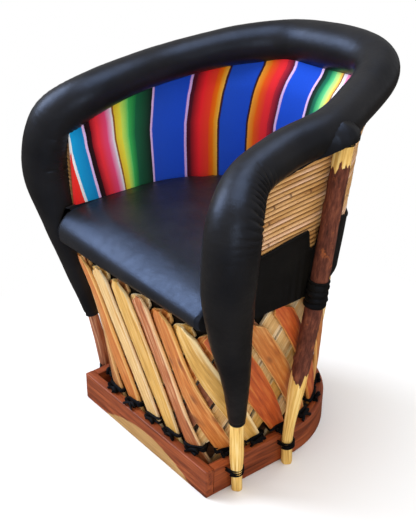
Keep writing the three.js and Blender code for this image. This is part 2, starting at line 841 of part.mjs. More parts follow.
function skirtGeometry() {
  const inside = reedOutside + gap;
  const outside = inside + skirtThickness;
  const rings = wallShares.map((share) => [
    wallPoint(share, skirtFoot, inside),
    wallPoint(share, skirtFoot, outside),
    wallPoint(share, skirtTop(share), outside),
    wallPoint(share, skirtTop(share), inside),
  ]);
  let body = toSolid(loft(rings)).subtract(rollClearance);
  for (const side of [1, -1]) {
    const post = toSolid(rearPostGeometry(side, gap));
    body = body.add(toSolid(collarGeometry(side)).subtract(post)).subtract(post);
  }
  return toGeometry(body);
}

function collarGeometry(side) {
  const curve = rearPostCurve(side);
  const steps = 2 * collarTurns;
  const rings = [];
  for (let i = 0; i <= steps; i += 1) {
    const share = shareAtHeight(curve, lerp(collarFoot, collarTop, i / steps));
    const centre = curve.getPointAt(share);
    const swell = i % 2 ? 0 : -collarBulge;
    const radius = rearRadiusAt(centre.z) + skirtThickness + swell;
    rings.push(circle(centre, curve.getTangentAt(share), sideways, radius, postSides));
  }
  return loft(rings);
}

// Rear posts

function rearPostCurve(side) {
  const seatOut = reedOutside + gap + skirtThickness + gap + rearPostRadius;
  const headOut = reedOutside + gap + rearPostRadius;
  const wallHalf = (height) => lerp(wallHalfWidth, wallTopHalfWidth, (height - wallFoot) / (wallTop - wallFoot));
  const footX = baseHalfWidth + gap + rearPostFootRadius;
  const seatHeight = lerp(collarFoot, collarTop, rearPostSeatShare);
  const seatX = wallHalf(seatHeight) + seatOut;
  const rows = [
    [footX, rearPostFootY, 0],
    [footX, rearPostBoardY, boardHeight],
    [(footX + seatX) / 2, rearPostKneeY, rearPostKneeHeight],
    [seatX, rearPostSeatY, seatHeight],
    [wallHalf(skirtTopAtPost) + seatOut, lerp(rearPostSeatY, rearPostHeadY, rearPostLeanShare), skirtTopAtPost],
    [wallHalf(rearPostTop) + headOut, rearPostHeadY, rearPostTop - (side < 0 ? leftPostDrop : 0)],
  ];
  const curve = new THREE.CatmullRomCurve3(rows.map(([x, y, z]) => new THREE.Vector3(side * x, y, z)));
  return curve;
}

const halvings = 30;

function shareAtHeight(curve, height) {
  let low = 0;
  let high = 1;
  for (let pass = 0; pass < halvings; pass += 1) {
    const middle = (low + high) / 2;
    if (curve.getPointAt(middle).z < height) {
      low = middle;
    } else {
      high = middle;
    }
  }
  return (low + high) / 2;
}

function rearRadiusAt(height) {
  return lerp(rearPostFootRadius, rearPostRadius, smooth(height, boardHeight, rearPostKneeHeight * rearPostSwellShare));
}

function rearPostGeometry(side, extra = 0) {
  const curve = rearPostCurve(side);
  const rings = [];
  for (let i = 0; i <= postSteps; i += 1) {
    const share = i / postSteps;
    const centre = curve.getPointAt(share);
    const radius = rearRadiusAt(centre.z) + extra;
    rings.push(circle(centre, curve.getTangentAt(share), sideways, radius, postSides));
  }
  for (const point of rings[0]) {
    point.z = 0;
  }
  return loft(rings);
}

// Lashings that hold each post to the base: a winding round the post, through two slots and a groove in the board

const lashedPosts = [
  { name: "lashing_front_right", side: 1, radius: frontPostRadius, axis: frontPostAxis },
  { name: "lashing_front_left", side: -1, radius: frontPostRadius, axis: frontPostAxis },
  { name: "lashing_rear_right", side: 1, radius: rearPostFootRadius, axis: rearPostAxis },
  { name: "lashing_rear_left", side: -1, radius: rearPostFootRadius, axis: rearPostAxis },
];

function frontPostAxis(side) {
  const end = side < 0 ? 0 : 1;
  let share = end;
  while (coreCurve.getPointAt(share).z < lashingMiddle) {
    share -= (2 * end - 1) / rollAxisCuts;
  }
  return coreCurve.getPointAt(share);
}

function rearPostAxis(side) {
  const curve = rearPostCurve(side);
  return curve.getPointAt(shareAtHeight(curve, lashingMiddle));
}

const lashingPitch = 2 * lashingRadius + lashingSpacing;
const lashingTop = boardHeight - lashingDepth;
const lashingFoot = lashingTop - lashingPitch * lashingTurns;
const lashingMiddle = (lashingTop + lashingFoot) / 2;
const slotRoom = lashingRadius + gap * 2;

function lashingReach({ radius }) {
  return radius + slotRoom + lashingSlack;
}

function lashingLoop(post) {
  const reach = lashingReach(post);
  const { x, y } = post.axis(post.side);
  const insideX = boardInside.halfWidth + slotRoom;
  const loop = [];
  const arcPoints = 7;
  for (let i = 0; i < arcPoints; i += 1) {
    const angle = -Math.PI / 2 + (Math.PI * i) / (arcPoints - 1);
    loop.push([post.side * x + reach * Math.cos(angle), y + reach * Math.sin(angle)]);
  }
  loop.push([insideX + lashingCorner, y + reach]);
  loop.push([insideX, y + reach - lashingCorner]);
  loop.push([insideX, y - reach + lashingCorner]);
  loop.push([insideX + lashingCorner, y - reach]);
  return loop.map(([across, along]) => [post.side * across, along]);
}

function lashingPoints(post) {
  const loop = lashingLoop(post);
  const points = [];
  const count = loop.length * lashingTurns;
  for (let i = 0; i <= count; i += 1) {
    const [x, y] = loop[i % loop.length];
    points.push(new THREE.Vector3(x, y, lashingFoot + (lashingPitch * i) / loop.length));
  }
  return points;
}

// The slots and the groove that let a winding through the board
function lashingSlot(post) {
  const reach = lashingReach(post);
  const { y } = post.axis(post.side);
  const insideX = boardInside.halfWidth - cutOverrun;
  const grooveX = boardInside.halfWidth + 2 * slotRoom;
  const outsideX = baseHalfWidth + cutOverrun;
  const rows = [
    [insideX, -reach - slotRoom], [outsideX, -reach - slotRoom], [outsideX, -reach + slotRoom],
    [grooveX, -reach + slotRoom], [grooveX, reach - slotRoom], [outsideX, reach - slotRoom],
    [outsideX, reach + slotRoom], [insideX, reach + slotRoom],
  ];
  const shape = new THREE.Shape(rows.map(([x, offset]) => new THREE.Vector2(post.side * x, y + offset)));
  const depth = lashingTop - lashingFoot + 2 * slotRoom;
  const geometry = new THREE.ExtrudeGeometry(shape, { depth, bevelEnabled: false });
  return geometry.translate(0, 0, lashingFoot - slotRoom);
}

for (const post of lashedPosts) {
  const least = leastSelfGap(lashingPoints(post), lashingRadius, 6);
  console.log(post.name, "least self gap", least.toFixed(2));
}

// Seat

function slingGeometry() {
  const outline = [];
  for (let i = 0; i < planSteps; i += 1) {
    const point = latticePoint((i * pairs) / planSteps, seatHoopTop, latticeDepth + seatHoopClearance);
    outline.push(new THREE.Vector2(point.x, point.y));
  }
  const geometry = new THREE.ExtrudeGeometry(new THREE.Shape(outline), { depth: slingThickness, bevelEnabled: false });
  return geometry.translate(0, 0, seatHoopTop + gap);
}

const padFoot = seatHoopTop + slingThickness + 2 * gap;
const padHalfWidth = wallPoint(0, padFoot, liningInside - liningSwell).x - padClearance;
const padFrontUnder = latticePoint(0, seatHoopTop, latticeDepth).y - slingThickness - gap;

// Where the pad meets the lining behind, at a distance from the middle and at a height
function padBackAt(x, height) {
  const level = (height - wallFoot) / (wallTop - wallFoot);
  const arcStart = lerp(wallArcStart, wallTopArcStart, level);
  const half = lerp(wallHalfWidth, wallTopHalfWidth, level) + liningInside - liningSwell - padClearance;
  const back = lerp(wallBack, wallTopBack, level) + liningInside - liningSwell - padClearance;
  const inside = Math.min(Math.abs(x) / half, 1);
  return arcStart + (back - arcStart) * Math.sqrt(1 - inside * inside);
}

// A slice's front hem, its rolled lip and its crowned top, in shares of the lip's round, the height and the crown
const hemShares = [[0.35, 0], [0.08, 0.16], [0, 0.42]];
const lipShares = [[0.14, 0.62], [0.46, 0.22], [1, 0]];
const crownShares = [[0.3, 1], [0.7, 1], [1, 0.4]];

// One slice of the pad across its width: under side, rolled front lip, crowned top
function padSlice(x, backAt, lipShare) {
  const crown = padCrown * (1 - crownFallShare * Math.min(Math.abs(x) / padHalfFront, 1) ** 3);
  const round = padLipRound;
  const front = -padFrontReach + padSideDraw * (1 - lipShare);
  const edge = backAt(padTop) - padSideDraw;
  const rows = [
    [backAt(padFoot), padFoot],
    [padFrontUnder, padFoot],
    [padFrontUnder, padFrontHem],
    ...hemShares.map(([inward, up]) => [front + round * inward, lerp(padFrontHem, padTop, up)]),
    ...lipShares.map(([inward, down]) => [front + round * inward, padTop - round * down]),
    ...crownShares.map(([along, up]) => [lerp(front + round, edge, along), padTop + crown * up]),
    [backAt(padTop - padSideDraw), padTop - padSideDraw],
  ];
  return rows.map(([y, z]) => new THREE.Vector3(x, y, z));
}

function padGeometry() {
  const half = [];
  for (let i = 0; i <= padSteps; i += 1) {
    const x = padHalfWidth * Math.sin((Math.PI / 2) * (i / padSteps));
    half.push([x, (height) => padBackAt(x, height), 1]);
  }
  const wingBack = () => padFrontUnder + skirtThickness;
  const [fullLip, midLip, endLip] = wingLipShares;
  half.push([padHalfWidth + padClearance, wingBack, fullLip]);
  half.push([lerp(padHalfWidth, padHalfFront, padWingReachShare), wingBack, midLip]);
  half.push([padHalfFront, wingBack, endLip]);
  const slices = [
    ...[...half].reverse().map(([x, backAt, lip]) => padSlice(-x, backAt, lip)),
    ...half.slice(1).map(([x, backAt, lip]) => padSlice(x, backAt, lip)),
  ];
  const outline = padSlice(0, half[0][1], 1).map((point) => new THREE.Vector2(point.y, point.z));
  return loft(slices, outline);
}

// Assembly

const chair = new THREE.Group();

function addPiece(name, geometry, color, roughness = 0.7) {
  const mesh = new THREE.Mesh(geometry, new THREE.MeshStandardMaterial({ color, roughness, metalness: 0 }));
  mesh.name = name;
  chair.add(mesh);
  return mesh;
}

addPiece("base_front_board", frontBoardGeometry(), colours.heartwood, 0.6);
addPiece("base_bent_board", bentBoardGeometry(), colours.heartwood, 0.6);
const footHoop = latticeHoopGeometry(boardHeight - thongRadius, footHoopHeight, footHoopClearance);
const seatHoop = latticeHoopGeometry(seatHoopTop, seatHoopHeight, seatHoopClearance);
addPiece("foot_hoop", footHoop, colours.bark, 0.8);
addPiece("seat_hoop", seatHoop, colours.leatherFolded, 0.6);
for (const layer of ["outer", "inner"]) {
  for (let i = 0; i < pairs; i += 1) {
    const pick = (handShare(slatColourStride * i + (layer === "outer" ? 0 : 1)) + 1) / 2;
    const color = slatColours[Math.floor(pick * slatColours.length)];
    addPiece(`slat_${layer}_${String(i + 1).padStart(2, "0")}`, slatGeometry(i, layer), color, 0.65);
  }
}
addPiece("base_thong", wire(baseThongPoints, thongRadius, thongSides, upward), colours.leatherFolded, 0.55);
addPiece("seat_sling", slingGeometry(), colours.rawhide, 0.8);
addPiece("seat_pad", padGeometry(), colours.leather, 0.45);
addPiece("seat_skirt", skirtGeometry(), colours.leather, 0.5);
addPiece("reed_wall", reedWallGeometry(), colours.reed, 0.7);
addPiece("sarape_lining", liningGeometry(), colours.sarape, 0.9);
addPiece("arm_back_roll", rollGeometry(), colours.leather, 0.4);
addPiece("rim_hoop", rimHoopGeometry(), colours.peeled, 0.7);
addPiece("front_post_right", frontPostGeometry(1), colours.peeled, 0.7);
addPiece("front_post_left", frontPostGeometry(-1), colours.peeled, 0.7);
addPiece("rear_post_right", rearPostGeometry(1), colours.bark, 0.85);
addPiece("rear_post_left", rearPostGeometry(-1), colours.bark, 0.85);
for (const post of lashedPosts) {
  addPiece(post.name, wire(lashingPoints(post), lashingRadius, thongSides, upward), colours.leatherFolded, 0.55);
}

// The chair's box stands centred on the origin, with its feet on the floor.
const box = new THREE.Box3().setFromObject(chair);
chair.position.set(-(box.min.x + box.max.x) / 2, -(box.min.y + box.max.y) / 2, -box.min.z);

export default chair;
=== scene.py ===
"""The looks of an equipale: black cowhide, a striped sarape back, split cedar, bark and reeds.

Sizes are millimetres in the chair's own frame, with the sitter facing -Y, and become metres in each mesh.
"""

import math

import bpy
import numpy as np
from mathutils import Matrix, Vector, noise


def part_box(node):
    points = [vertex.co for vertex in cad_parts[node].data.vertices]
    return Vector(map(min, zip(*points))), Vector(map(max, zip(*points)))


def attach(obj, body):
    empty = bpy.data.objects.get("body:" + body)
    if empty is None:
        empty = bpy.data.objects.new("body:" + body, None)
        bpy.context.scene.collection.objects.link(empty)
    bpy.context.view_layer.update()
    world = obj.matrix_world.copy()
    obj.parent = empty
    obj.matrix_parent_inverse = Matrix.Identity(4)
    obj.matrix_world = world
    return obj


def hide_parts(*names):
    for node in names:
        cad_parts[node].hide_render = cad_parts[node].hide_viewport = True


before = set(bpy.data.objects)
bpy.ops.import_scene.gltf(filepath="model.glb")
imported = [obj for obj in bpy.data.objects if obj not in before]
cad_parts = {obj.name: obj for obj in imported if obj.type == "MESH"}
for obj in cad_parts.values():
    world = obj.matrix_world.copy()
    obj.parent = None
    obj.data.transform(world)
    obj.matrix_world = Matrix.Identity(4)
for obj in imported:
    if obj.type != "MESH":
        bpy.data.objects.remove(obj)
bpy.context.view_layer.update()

MM = 0.001
UP = np.array([0.0, 0.0, 1.0])

# Base boards
BASE_HALF_WIDTH = 215
BASE_FRONT = 213
BASE_ARC_START = 5
BASE_CLEARANCE = 0.3
BASE_BACK = 225
BOARD_HEIGHT = 64.5
BOARD_THICKNESS = 20
BOARD_ROUND = 2.2
WEDGE_MIDDLE = 15  # the pale wedge of the front board
WEDGE_REACH = 165
WEDGE_HEIGHT = 44
WEDGE_BORDER = 12

# Lattice of slats
PAIRS = 20
SLAT_WIDTH = 44
SLAT_THICKNESS = 8
LAYER_SPACING = 12.8
SLAT_FOOT_HEIGHT = 22
LATTICE_CORNER = 80
FOOT_CLEARANCE = 0.9
HEAD_HEIGHT = 378
HEAD_HALF_WIDTH = 240
HEAD_FRONT = 235
HEAD_ARC_START = -40
HEAD_BACK = 212
FRONT_HEAD_TOP = 382
FRONT_HEAD_REACH = 4.6
SIDE_HEAD_TOP = 401
LEAN_PITCH_SHARE = 2.5
FOOT_PHASE_SHARE = -0.32
HEAD_PHASE_SHARE = 0.38
FRONT_CROWDING_SHARE = 0.12
SLAT_BELLY_SHARE = 0.14
FOOT_WIDTH_SHARES = {"outer": 0.8, "inner": 0.48}
BROAD_SLAT = 5
BROAD_SLAT_WIDTH = 64
SLAT_HEAD_LENGTH = 20
HEAD_TAPER = 0.62
HEAD_THINNING = 0.45
HEAD_SLANT = 6
EDGE_WAVER = 0.8
INNER_SLAT_WIDENING = 20
INNER_SLAT_GAP = 5

# Seat, back wall and skirt
PAD_FOOT = 403.6
PAD_TOP = 466
PAD_CROWN = 8
PAD_FRONT_REACH = 250
PAD_HALF_FRONT = 231
PAD_LIP_ROUND = 58
PAD_CLEARANCE = 1.9
PAD_WING = 1.8
PAD_HEMS = (396, 408)  # the flap's foot at its left and its right end
WALL_FOOT = 402.5
WALL_HALF_WIDTH = 240
WALL_ARC_START = -40
WALL_BACK = 216
WALL_FRONT_EDGE = -172
WALL_TOP = 700
WALL_TOP_HALF_WIDTH = 246
WALL_TOP_ARC_START = 0
WALL_TOP_BACK = 256
FLARE_FROM = 655
FLARE_SLOPE_SHARE = 0.2
REED_THICKNESS = 12
REED_HALF = REED_THICKNESS / 2
LINING_THICKNESS = 7.5
LINING_OUT = -REED_HALF - 0.6  # the lining's outer face, counted from the wall's middle
LINING_FRONT_EDGE = -203
LINING_FOOT = 404
LINING_SWELL = 2.0
RIPPLE_PITCH = 58
SKIRT_FOOT = 404
SKIRT_TOPS = {"leg": 524, "post": 546, "back": 492}
COLLAR_FOOT = 391
COLLAR_TOP = 446
SKIRT_NOTCH = 42  # deep, beside each rear post

CANE_FOOT = 396
CANE_PITCH = 8.7
CANE_RISE = 24  # the rows rise from the arm's front to the rear posts
CANE_RISE_REACH = 180
CANE_DEPTH = 4.4
CANE_JOINTS = 6
CANE_JOINT_SHARE = 0.21  # of the wall's run, from one joint of a cane to the next

# Padded roll: the same listed stations as its wooden core follows
ROLL_REACH = 290
ROLL_BACK = 284
ROLL_HEIGHT = 757
ROLL_RADIUS = 50
ROLL_SHARES = [
    # across, back, up, thick, left drop, left rise, left fuller, left out
    (0, 0.993, 0.995, 0.94, 0, 0, 0, 0),
    (0.228, 0.998, 1, 0.928, 0.7, 0, 0, 0),
    (0.419, 0.956, 0.998, 0.9, 1, 0, 0, 0),
    (0.561, 0.788, 0.987, 0.83, 0.7, 0, 0, 0),
    (0.662, 0.556, 0.972, 0.776, 0.25, 0, 0, 0),
    (0.811, 0.126, 0.946, 0.774, 0.25, 0, 0, 0),
    (0.81, -0.209, 0.929, 0.755, 0, 0, 0.5, 0),
    (0.842, -0.533, 0.894, 0.812, 0, 0.75, 1, 0),
    (0.884, -0.618, 0.877, 0.869, 0, 0.6, 0.7, 0),
    (0.932, -0.694, 0.855, 0.935, 0, 0.4, 0.2, 0),
    (0.968, -0.744, 0.833, 0.975, 0, 0, 0, 0),
    (1, -0.806, 0.711, 0.98, 0, 0, 0, 0),
    (0.949, -0.749, 0.569, 0.836, 0, 0, 0, 0),
    (0.915, -0.654, 0.384, 0.52, 0, 0.5, 0, 0.25),
    (0.824, -0.556, 0.201, 0.303, 0, 0.8, 0, 1),
]
LEFT_BACK_DROP = 16
LEFT_ARM_RISE = 5
LEFT_ARM_FULLNESS = 3
LEFT_TIP_OUT = 11
EASE_REACH = 34  # the padding rounds off the pole's bends
EASE_REACH_BEHIND = 92
EASE_STEP = 4
TIP_RISES = (28, 37)  # how far above the pole's mark the left and the right leg's leather end
ELBOW_FRONT = -150
ELBOW_LOWEST = 500
GATHER_PITCH = 11
GATHER_DEPTH = 5.5
GATHER_REACH = 85  # along the roll, either way from the middle of an elbow
GATHER_STRENGTHS = {"right": 1.0, "left": 0.3}
ROLL_STEPS = 24  # between two stations
FRONT_POST_RADIUS = 12
FRONT_POST_FOOT_Y = -144

# Rear posts
REAR_POST_RADIUS = 17.5
REAR_POST_FOOT_RADIUS = 11.5
REAR_POST_TOP = 679
LEFT_POST_DROP = 8
REAR_POST_KNEE_HEIGHT = 290
POST_REACH = 698
POST_SEAT_Y = 3
POST_HEAD_Y = 37
POST_HEAD_LENGTH = 34  # into the roll
FOOT_BARK_FROM = 214
HEAD_BARK_FROM = 658
FOOT_BARE_FROM = 204
HEAD_BARE_FROM = 650
BARK_BORDER = 32
TWIG_STUBS = ((262, 4.1), (330, 1.2), (585, 3.4))  # height and angle
TWIG_STUB_HEIGHT = 3.2
SPLINTER_HEIGHT = 1.6

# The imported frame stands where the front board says
board_low, board_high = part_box("base_front_board")
SHIFT = np.array([(board_low.x + board_high.x) / 2, board_low.y + BASE_FRONT * MM, board_low.z])


# Small helpers

def lerp(a, b, t):
    return a + (b - a) * t


def smooth(x, low, high):
    t = np.clip((np.asarray(x, float) - low) / (high - low), 0, 1)
    return t * t * (3 - 2 * t)


def hand_share(seed):
    """A repeatable number from -1 to 1 for what differs from one hand-made piece to the next."""
    wave = math.sin(seed * 12.9898 + 4.1414) * 43758.5453
    return 2 * (wave - math.floor(wave)) - 1


def rough(points, size, seed=0):
    """Smooth unevenness from -1 to 1 at points, for lumps of a size in millimetres."""
    start = Vector((seed * 17.3, seed * 5.9, seed * 11.1))
    flat = np.asarray(points, float).reshape(-1, 3) / size
    values = [noise.noise(Vector(p) + start) for p in flat]
    return np.array(values).reshape(np.shape(points)[:-1])


def unit(v):
    return v / np.maximum(np.linalg.norm(v, axis=-1, keepdims=True), 1e-9)


class Run:
    """A line of points that is walked by share of its length."""

    def __init__(self, points):
        self.points = np.array(points, float)
        steps = np.linalg.norm(np.diff(self.points, axis=0), axis=1)
        self.at = np.concatenate([[0], np.cumsum(steps)])
        self.length = self.at[-1]
        self.at /= self.length

    def place(self, share):
        columns = [np.interp(share, self.at, c) for c in self.points.T]
        return np.stack(columns, -1)

    def heading(self, share):
        step = 0.0005
        return unit(self.place(np.clip(share + step, 0, 1)) - self.place(np.clip(share - step, 0, 1)))


def full_circle(sides):
    return np.linspace(0, 2 * math.pi, sides, endpoint=False)


def stacked(*parts):
    """Numbers as the columns of one grid of points."""
    return np.stack(np.broadcast_arrays(*parts), -1)


def wander(along, track):
    """Unevenness from -1 to 1 along a line. Each track has its own."""
    return np.array([noise.noise(Vector((x, track, 0))) for x in along])


def hand(side):
    return "right" if side > 0 else "left"


def arc(centre, radii, start, end, count=160):
    angle = np.linspace(start, end, count)
    return np.stack([centre[0] + radii[0] * np.cos(angle), centre[1] + radii[1] * np.sin(angle)], -1)


# Plans of the chair, seen from above: a straight front with rounded corners, or an open front


def closed_plan(half_width, front, arc_start, back, corner):
    right = arc((half_width - corner, corner - front), (corner, corner), -math.pi / 2, 0)
    left = arc((corner - half_width, corner - front), (corner, corner), math.pi, 1.5 * math.pi)
    behind = arc((0, arc_start), (half_width, back - arc_start), 0, math.pi, 600)
    return Run(np.vstack([[(0, -front)], right, behind, left, [(0, -front)]]))


def open_plan(half_width, front_edge, arc_start, back):
    behind = arc((0, arc_start), (half_width, back - arc_start), 0, math.pi, 600)
    return Run(np.vstack([[(half_width, front_edge)], behind, [(-half_width, front_edge)]]))


def on_plan(run, share):
    """Places on a plan, and the directions that lead straight out of it there."""
    heading = run.heading(share)
    return run.place(share), np.stack([heading[..., 1], -heading[..., 0]], -1)


# Meshes

def piece(name, points, faces, material, values=None, sharp=40):
    """A mesh object from points in millimetres. Values are numbers that belong to its points, by name."""
    mesh = bpy.data.meshes.new(name)
    places = np.asarray(points, float).reshape(-1, 3) * MM + SHIFT
    mesh.from_pydata(places.tolist(), [], faces)
    for key, numbers in (values or {}).items():
        numbers = np.asarray(numbers, np.float32)
        kind = "FLOAT_VECTOR" if numbers.ndim > 1 and numbers.shape[-1] == 3 else "FLOAT"
        layer = mesh.attributes.new(key, kind, "POINT")
        layer.data.foreach_set("vector" if kind == "FLOAT_VECTOR" else "value", numbers.ravel())
    mesh.materials.append(material)
    mesh.validate()
    mesh.shade_smooth()
    mesh.set_sharp_from_angle(angle=math.radians(sharp))
    obj = bpy.data.objects.new(name, mesh)
    bpy.context.scene.collection.objects.link(obj)
    return obj


def loft_faces(count, size):
    """The faces round a row of rings, and one at each end."""
    faces = []
    for here in range(0, (count - 1) * size, size):
        after = here + size
        for j in range(size):
            k = (j + 1) % size
            faces.append((here + j, after + j, after + k, here + k))
    faces.append(tuple(reversed(range(size))))
    faces.append(tuple(range((count - 1) * size, count * size)))
    return faces


def outward(points, faces):
    """The faces turned so that they look out of the closed shape."""
    p = np.asarray(points, float).reshape(-1, 3)
    volume = 0.0
    for face in faces:
        a = p[face[0]]
        for b, c in zip(face[1:-1], face[2:]):
            volume += float(np.dot(a, np.cross(p[b], p[c])))
    return faces if volume > 0 else [tuple(reversed(face)) for face in faces]


def loft(name, rings, material, values=None, sharp=40):
    """A closed piece from rings of points that follow one another."""
    rings = np.asarray(rings, float)
    faces = outward(rings, loft_faces(*rings.shape[:2]))
    return piece(name, rings, faces, material, values, sharp)


def carried_frames(points):
    """Two directions square to a line of points, carried along it without twist."""
    ahead = unit(np.gradient(points, axis=0))
    middle = len(points) // 2
    steep = abs(ahead[middle] @ UP) > 0.9
    up = np.array([1.0, 0.0, 0.0]) if steep else UP
    first = np.zeros_like(points)
    first[middle] = unit(up - ahead[middle] * (up @ ahead[middle]))
    for i in range(middle + 1, len(points)):
        first[i] = unit(first[i - 1] - ahead[i] * (first[i - 1] @ ahead[i]))
    for i in range(middle - 1, -1, -1):
        first[i] = unit(first[i + 1] - ahead[i] * (first[i + 1] @ ahead[i]))
    return first, np.cross(ahead, first)


def round_about(points, sides, width=2.0, height=2.0):
    """Steps from each point of a line to the points of an oval round it."""
    first, second = carried_frames(points)
    angle = full_circle(sides)
    return ((np.cos(angle) * height / 2)[None, :, None] * first[:, None]
            + (np.sin(angle) * width / 2)[None, :, None] * second[:, None])


def tube_rings(points, radii, sides):
    """Rings round a line, with one radius for all or one for each point."""
    return points[:, None] + np.reshape(radii, (-1, 1, 1)) * round_about(points, sides)


def through(controls, per_span=12):
    """A smooth line through control rows, with as many columns as they have."""
    rows = np.asarray(controls, float)
    rows = np.vstack([2 * rows[0] - rows[1], rows, 2 * rows[-1] - rows[-2]])
    line = []
    for i in range(1, len(rows) - 2):
        a, b, c, d = rows[i - 1:i + 3]
        gaps = [max(np.linalg.norm(q[:3] - p[:3]) ** 0.5, 1e-3) for p, q in ((a, b), (b, c), (c, d))]
        start = ((b - a) / gaps[0] - (c - a) / (gaps[0] + gaps[1]) + (c - b) / gaps[1]) * gaps[1]
        end = ((c - b) / gaps[1] - (d - b) / (gaps[1] + gaps[2]) + (d - c) / gaps[2]) * gaps[1]
        for t in np.linspace(0, 1, per_span, endpoint=False):
            line.append(b + start * t + (3 * (c - b) - 2 * start - end) * t ** 2
                        + (2 * (b - c) + start + end) * t ** 3)
    line.append(rows[-2])
    return np.array(line)


def finish_piece(obj, slot, *nodes):
    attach(obj, "root")
    if nodes:
        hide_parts(*nodes)
    return obj


PLUMP_FRAMES = 12


def vertex_places(mesh):
    flat = np.zeros(len(mesh.vertices) * 3)
    mesh.vertices.foreach_get("co", flat)
    return flat.reshape(-1, 3)


def plump(obj, pressure, reach, held):
    """Lets a padded piece swell and settle as cloth. No point moves further than reach, in millimetres."""
    before = vertex_places(obj.data)
    cloth = obj.modifiers.new("settling", "CLOTH")
    cloth.settings.quality = 5
    cloth.settings.mass = 0.4
    cloth.settings.tension_stiffness = 12
    cloth.settings.compression_stiffness = 12
    cloth.settings.shear_stiffness = 6
    cloth.settings.bending_stiffness = 1.5
    cloth.settings.use_pressure = True
    cloth.settings.uniform_pressure_force = pressure
    cloth.settings.effector_weights.gravity = 0
    group = obj.vertex_groups.new(name="held")
    for index, weight in enumerate(held):
        if weight > 0:
            group.add([index], float(weight), "REPLACE")
    cloth.settings.vertex_group_mass = "held"
    scene = bpy.context.scene
    for number in range(1, PLUMP_FRAMES + 1):
        scene.frame_set(number)
    shape = obj.evaluated_get(bpy.context.evaluated_depsgraph_get()).to_mesh()
    move = vertex_places(shape) - before
    length = np.linalg.norm(move, axis=1, keepdims=True)
    move *= np.minimum(1, reach * MM / np.maximum(length, 1e-9))
    obj.modifiers.remove(cloth)
    scene.frame_set(1)
    obj.data.vertices.foreach_set("co", (before + move).ravel())
    obj.data.update()


# Materials

def colour(code):
    """An sRGB hex value as a linear colour."""
    channels = [int(code[i:i + 2], 16) / 255 for i in (1, 3, 5)]
    linear = [c / 12.92 if c <= 0.04045 else ((c + 0.055) / 1.055) ** 2.4 for c in channels]
    return (*linear, 1.0)


def put(tree, socket, value):
    """Links a value to a socket, or sets it there as a plain one."""
    if isinstance(value, bpy.types.NodeSocket):
        tree.links.new(value, socket)
    else:
        socket.default_value = value


def add(tree, kind, inputs=None, stops=None, **settings):
    """Adds a node with its settings, its links or values, and the stops of a ramp."""
    made = tree.nodes.new(kind)
    for key, value in settings.items():
        setattr(made, key, value)
    for key, value in (inputs or {}).items():
        put(tree, made.inputs[key], value)
    if stops:
        elements = made.color_ramp.elements
        while len(elements) < len(stops):
            elements.new(1)
        for element, (position, code) in zip(elements, sorted(stops, key=lambda stop: stop[0])):
            element.position = position
            element.color = colour(code) if isinstance(code, str) else (code, code, code, 1)
    return made


def surface(name):
    material = bpy.data.materials.new(name)
    material.use_nodes = True
    return material, material.node_tree, material.node_tree.nodes["Principled BSDF"]


def object_place(tree):
    return add(tree, "ShaderNodeTexCoord").outputs["Object"]


def attribute(tree, name, output="Fac"):
    return add(tree, "ShaderNodeAttribute", attribute_name=name).outputs[output]


def stretched(tree, place, sizes):
    """Places drawn out, so that a pattern has its own size in metres along each axis."""
    drawn = add(tree, "ShaderNodeMapping", {"Vector": place, "Scale": tuple(1 / size for size in sizes)})
    return drawn.outputs["Vector"]


def speckle(tree, place, size, detail, roughness=0.5, distortion=0.0):
    """Cloudy noise whose lumps have a size in metres, or one along each axis."""
    scale = 1.0
    if isinstance(size, tuple):
        place = stretched(tree, place, size)
    else:
        scale = 1 / size
    made = add(tree, "ShaderNodeTexNoise", {"Vector": place, "Scale": scale, "Detail": detail,
                                            "Roughness": roughness, "Distortion": distortion})
    return made.outputs["Fac"]


def ramp(tree, share, stops):
    return add(tree, "ShaderNodeValToRGB", {"Fac": share}, stops=stops).outputs["Color"]


def ranged(tree, value, low, high, to_low=0.0, to_high=1.0):
    made = add(tree, "ShaderNodeMapRange", {"Value": value, "From Min": low, "From Max": high,
                                            "To Min": to_low, "To Max": to_high})
    return made.outputs["Result"]


def mix_tones(tree, share, first, second):
    made = add(tree, "ShaderNodeMix", {"Factor": share, "A": first, "B": second}, data_type="RGBA")
    return made.outputs["Result"]


def brightened(tree, tone, share):
    return add(tree, "ShaderNodeVectorMath", {0: tone, "Scale": share}, operation="SCALE").outputs["Vector"]


def reckon(tree, operation, *values):
    return add(tree, "ShaderNodeMath", dict(enumerate(values)), operation=operation).outputs[0]


def relief(tree, height, strength, distance, under=None):
    """Bumps of a height in metres, on top of other bumps if there are any."""
    inputs = {"Height": height, "Strength": strength, "Distance": distance}
    if under is not None:
        inputs["Normal"] = under
    return add(tree, "ShaderNodeBump", inputs).outputs["Normal"]


def dress(tree, shader, tone, normal, levels):
    """Gives a surface its colour, its relief and its other levels."""
    for key, value in {"Base Color": tone, "Normal": normal, **levels}.items():
        put(tree, shader.inputs[key], value)


def black_cowhide(name, shade="#15120e", light="#211e1a", roughness=0.38, sheen=0.4, tint="#a4c2f6"):
    """Chrome-tanned cowhide in a warm black dye, waxed: satin and finely pebbled. Its Specular Tint is
    painted light: it colours the highlights sky-blue.
    """
    material, tree, skin = surface(name)
    place = object_place(tree)
    # Pebbles of about 1 mm would not show in the render, so they are drawn 2.2 mm wide
    pebbles = add(tree, "ShaderNodeTexVoronoi", {"Vector": place, "Scale": 1 / 0.0022}).outputs["Distance"]
    creases = speckle(tree, place, 0.016, 7.0, 0.62)
    patches = speckle(tree, place, 0.09, 3.0)
    # The Specular Tint paints a sky-blue reflection colour into the leather's gloss
    dress(tree, skin, ramp(tree, patches, [(0.3, shade), (0.75, light)]),
          relief(tree, creases, 0.3, 0.0018, relief(tree, pebbles, 0.14, 0.0006)),
          {"Roughness": ranged(tree, creases, 0.3, 0.7, roughness - 0.04, roughness + 0.08),
           "Specular IOR Level": sheen, "Specular Tint": colour(tint)})
    return material


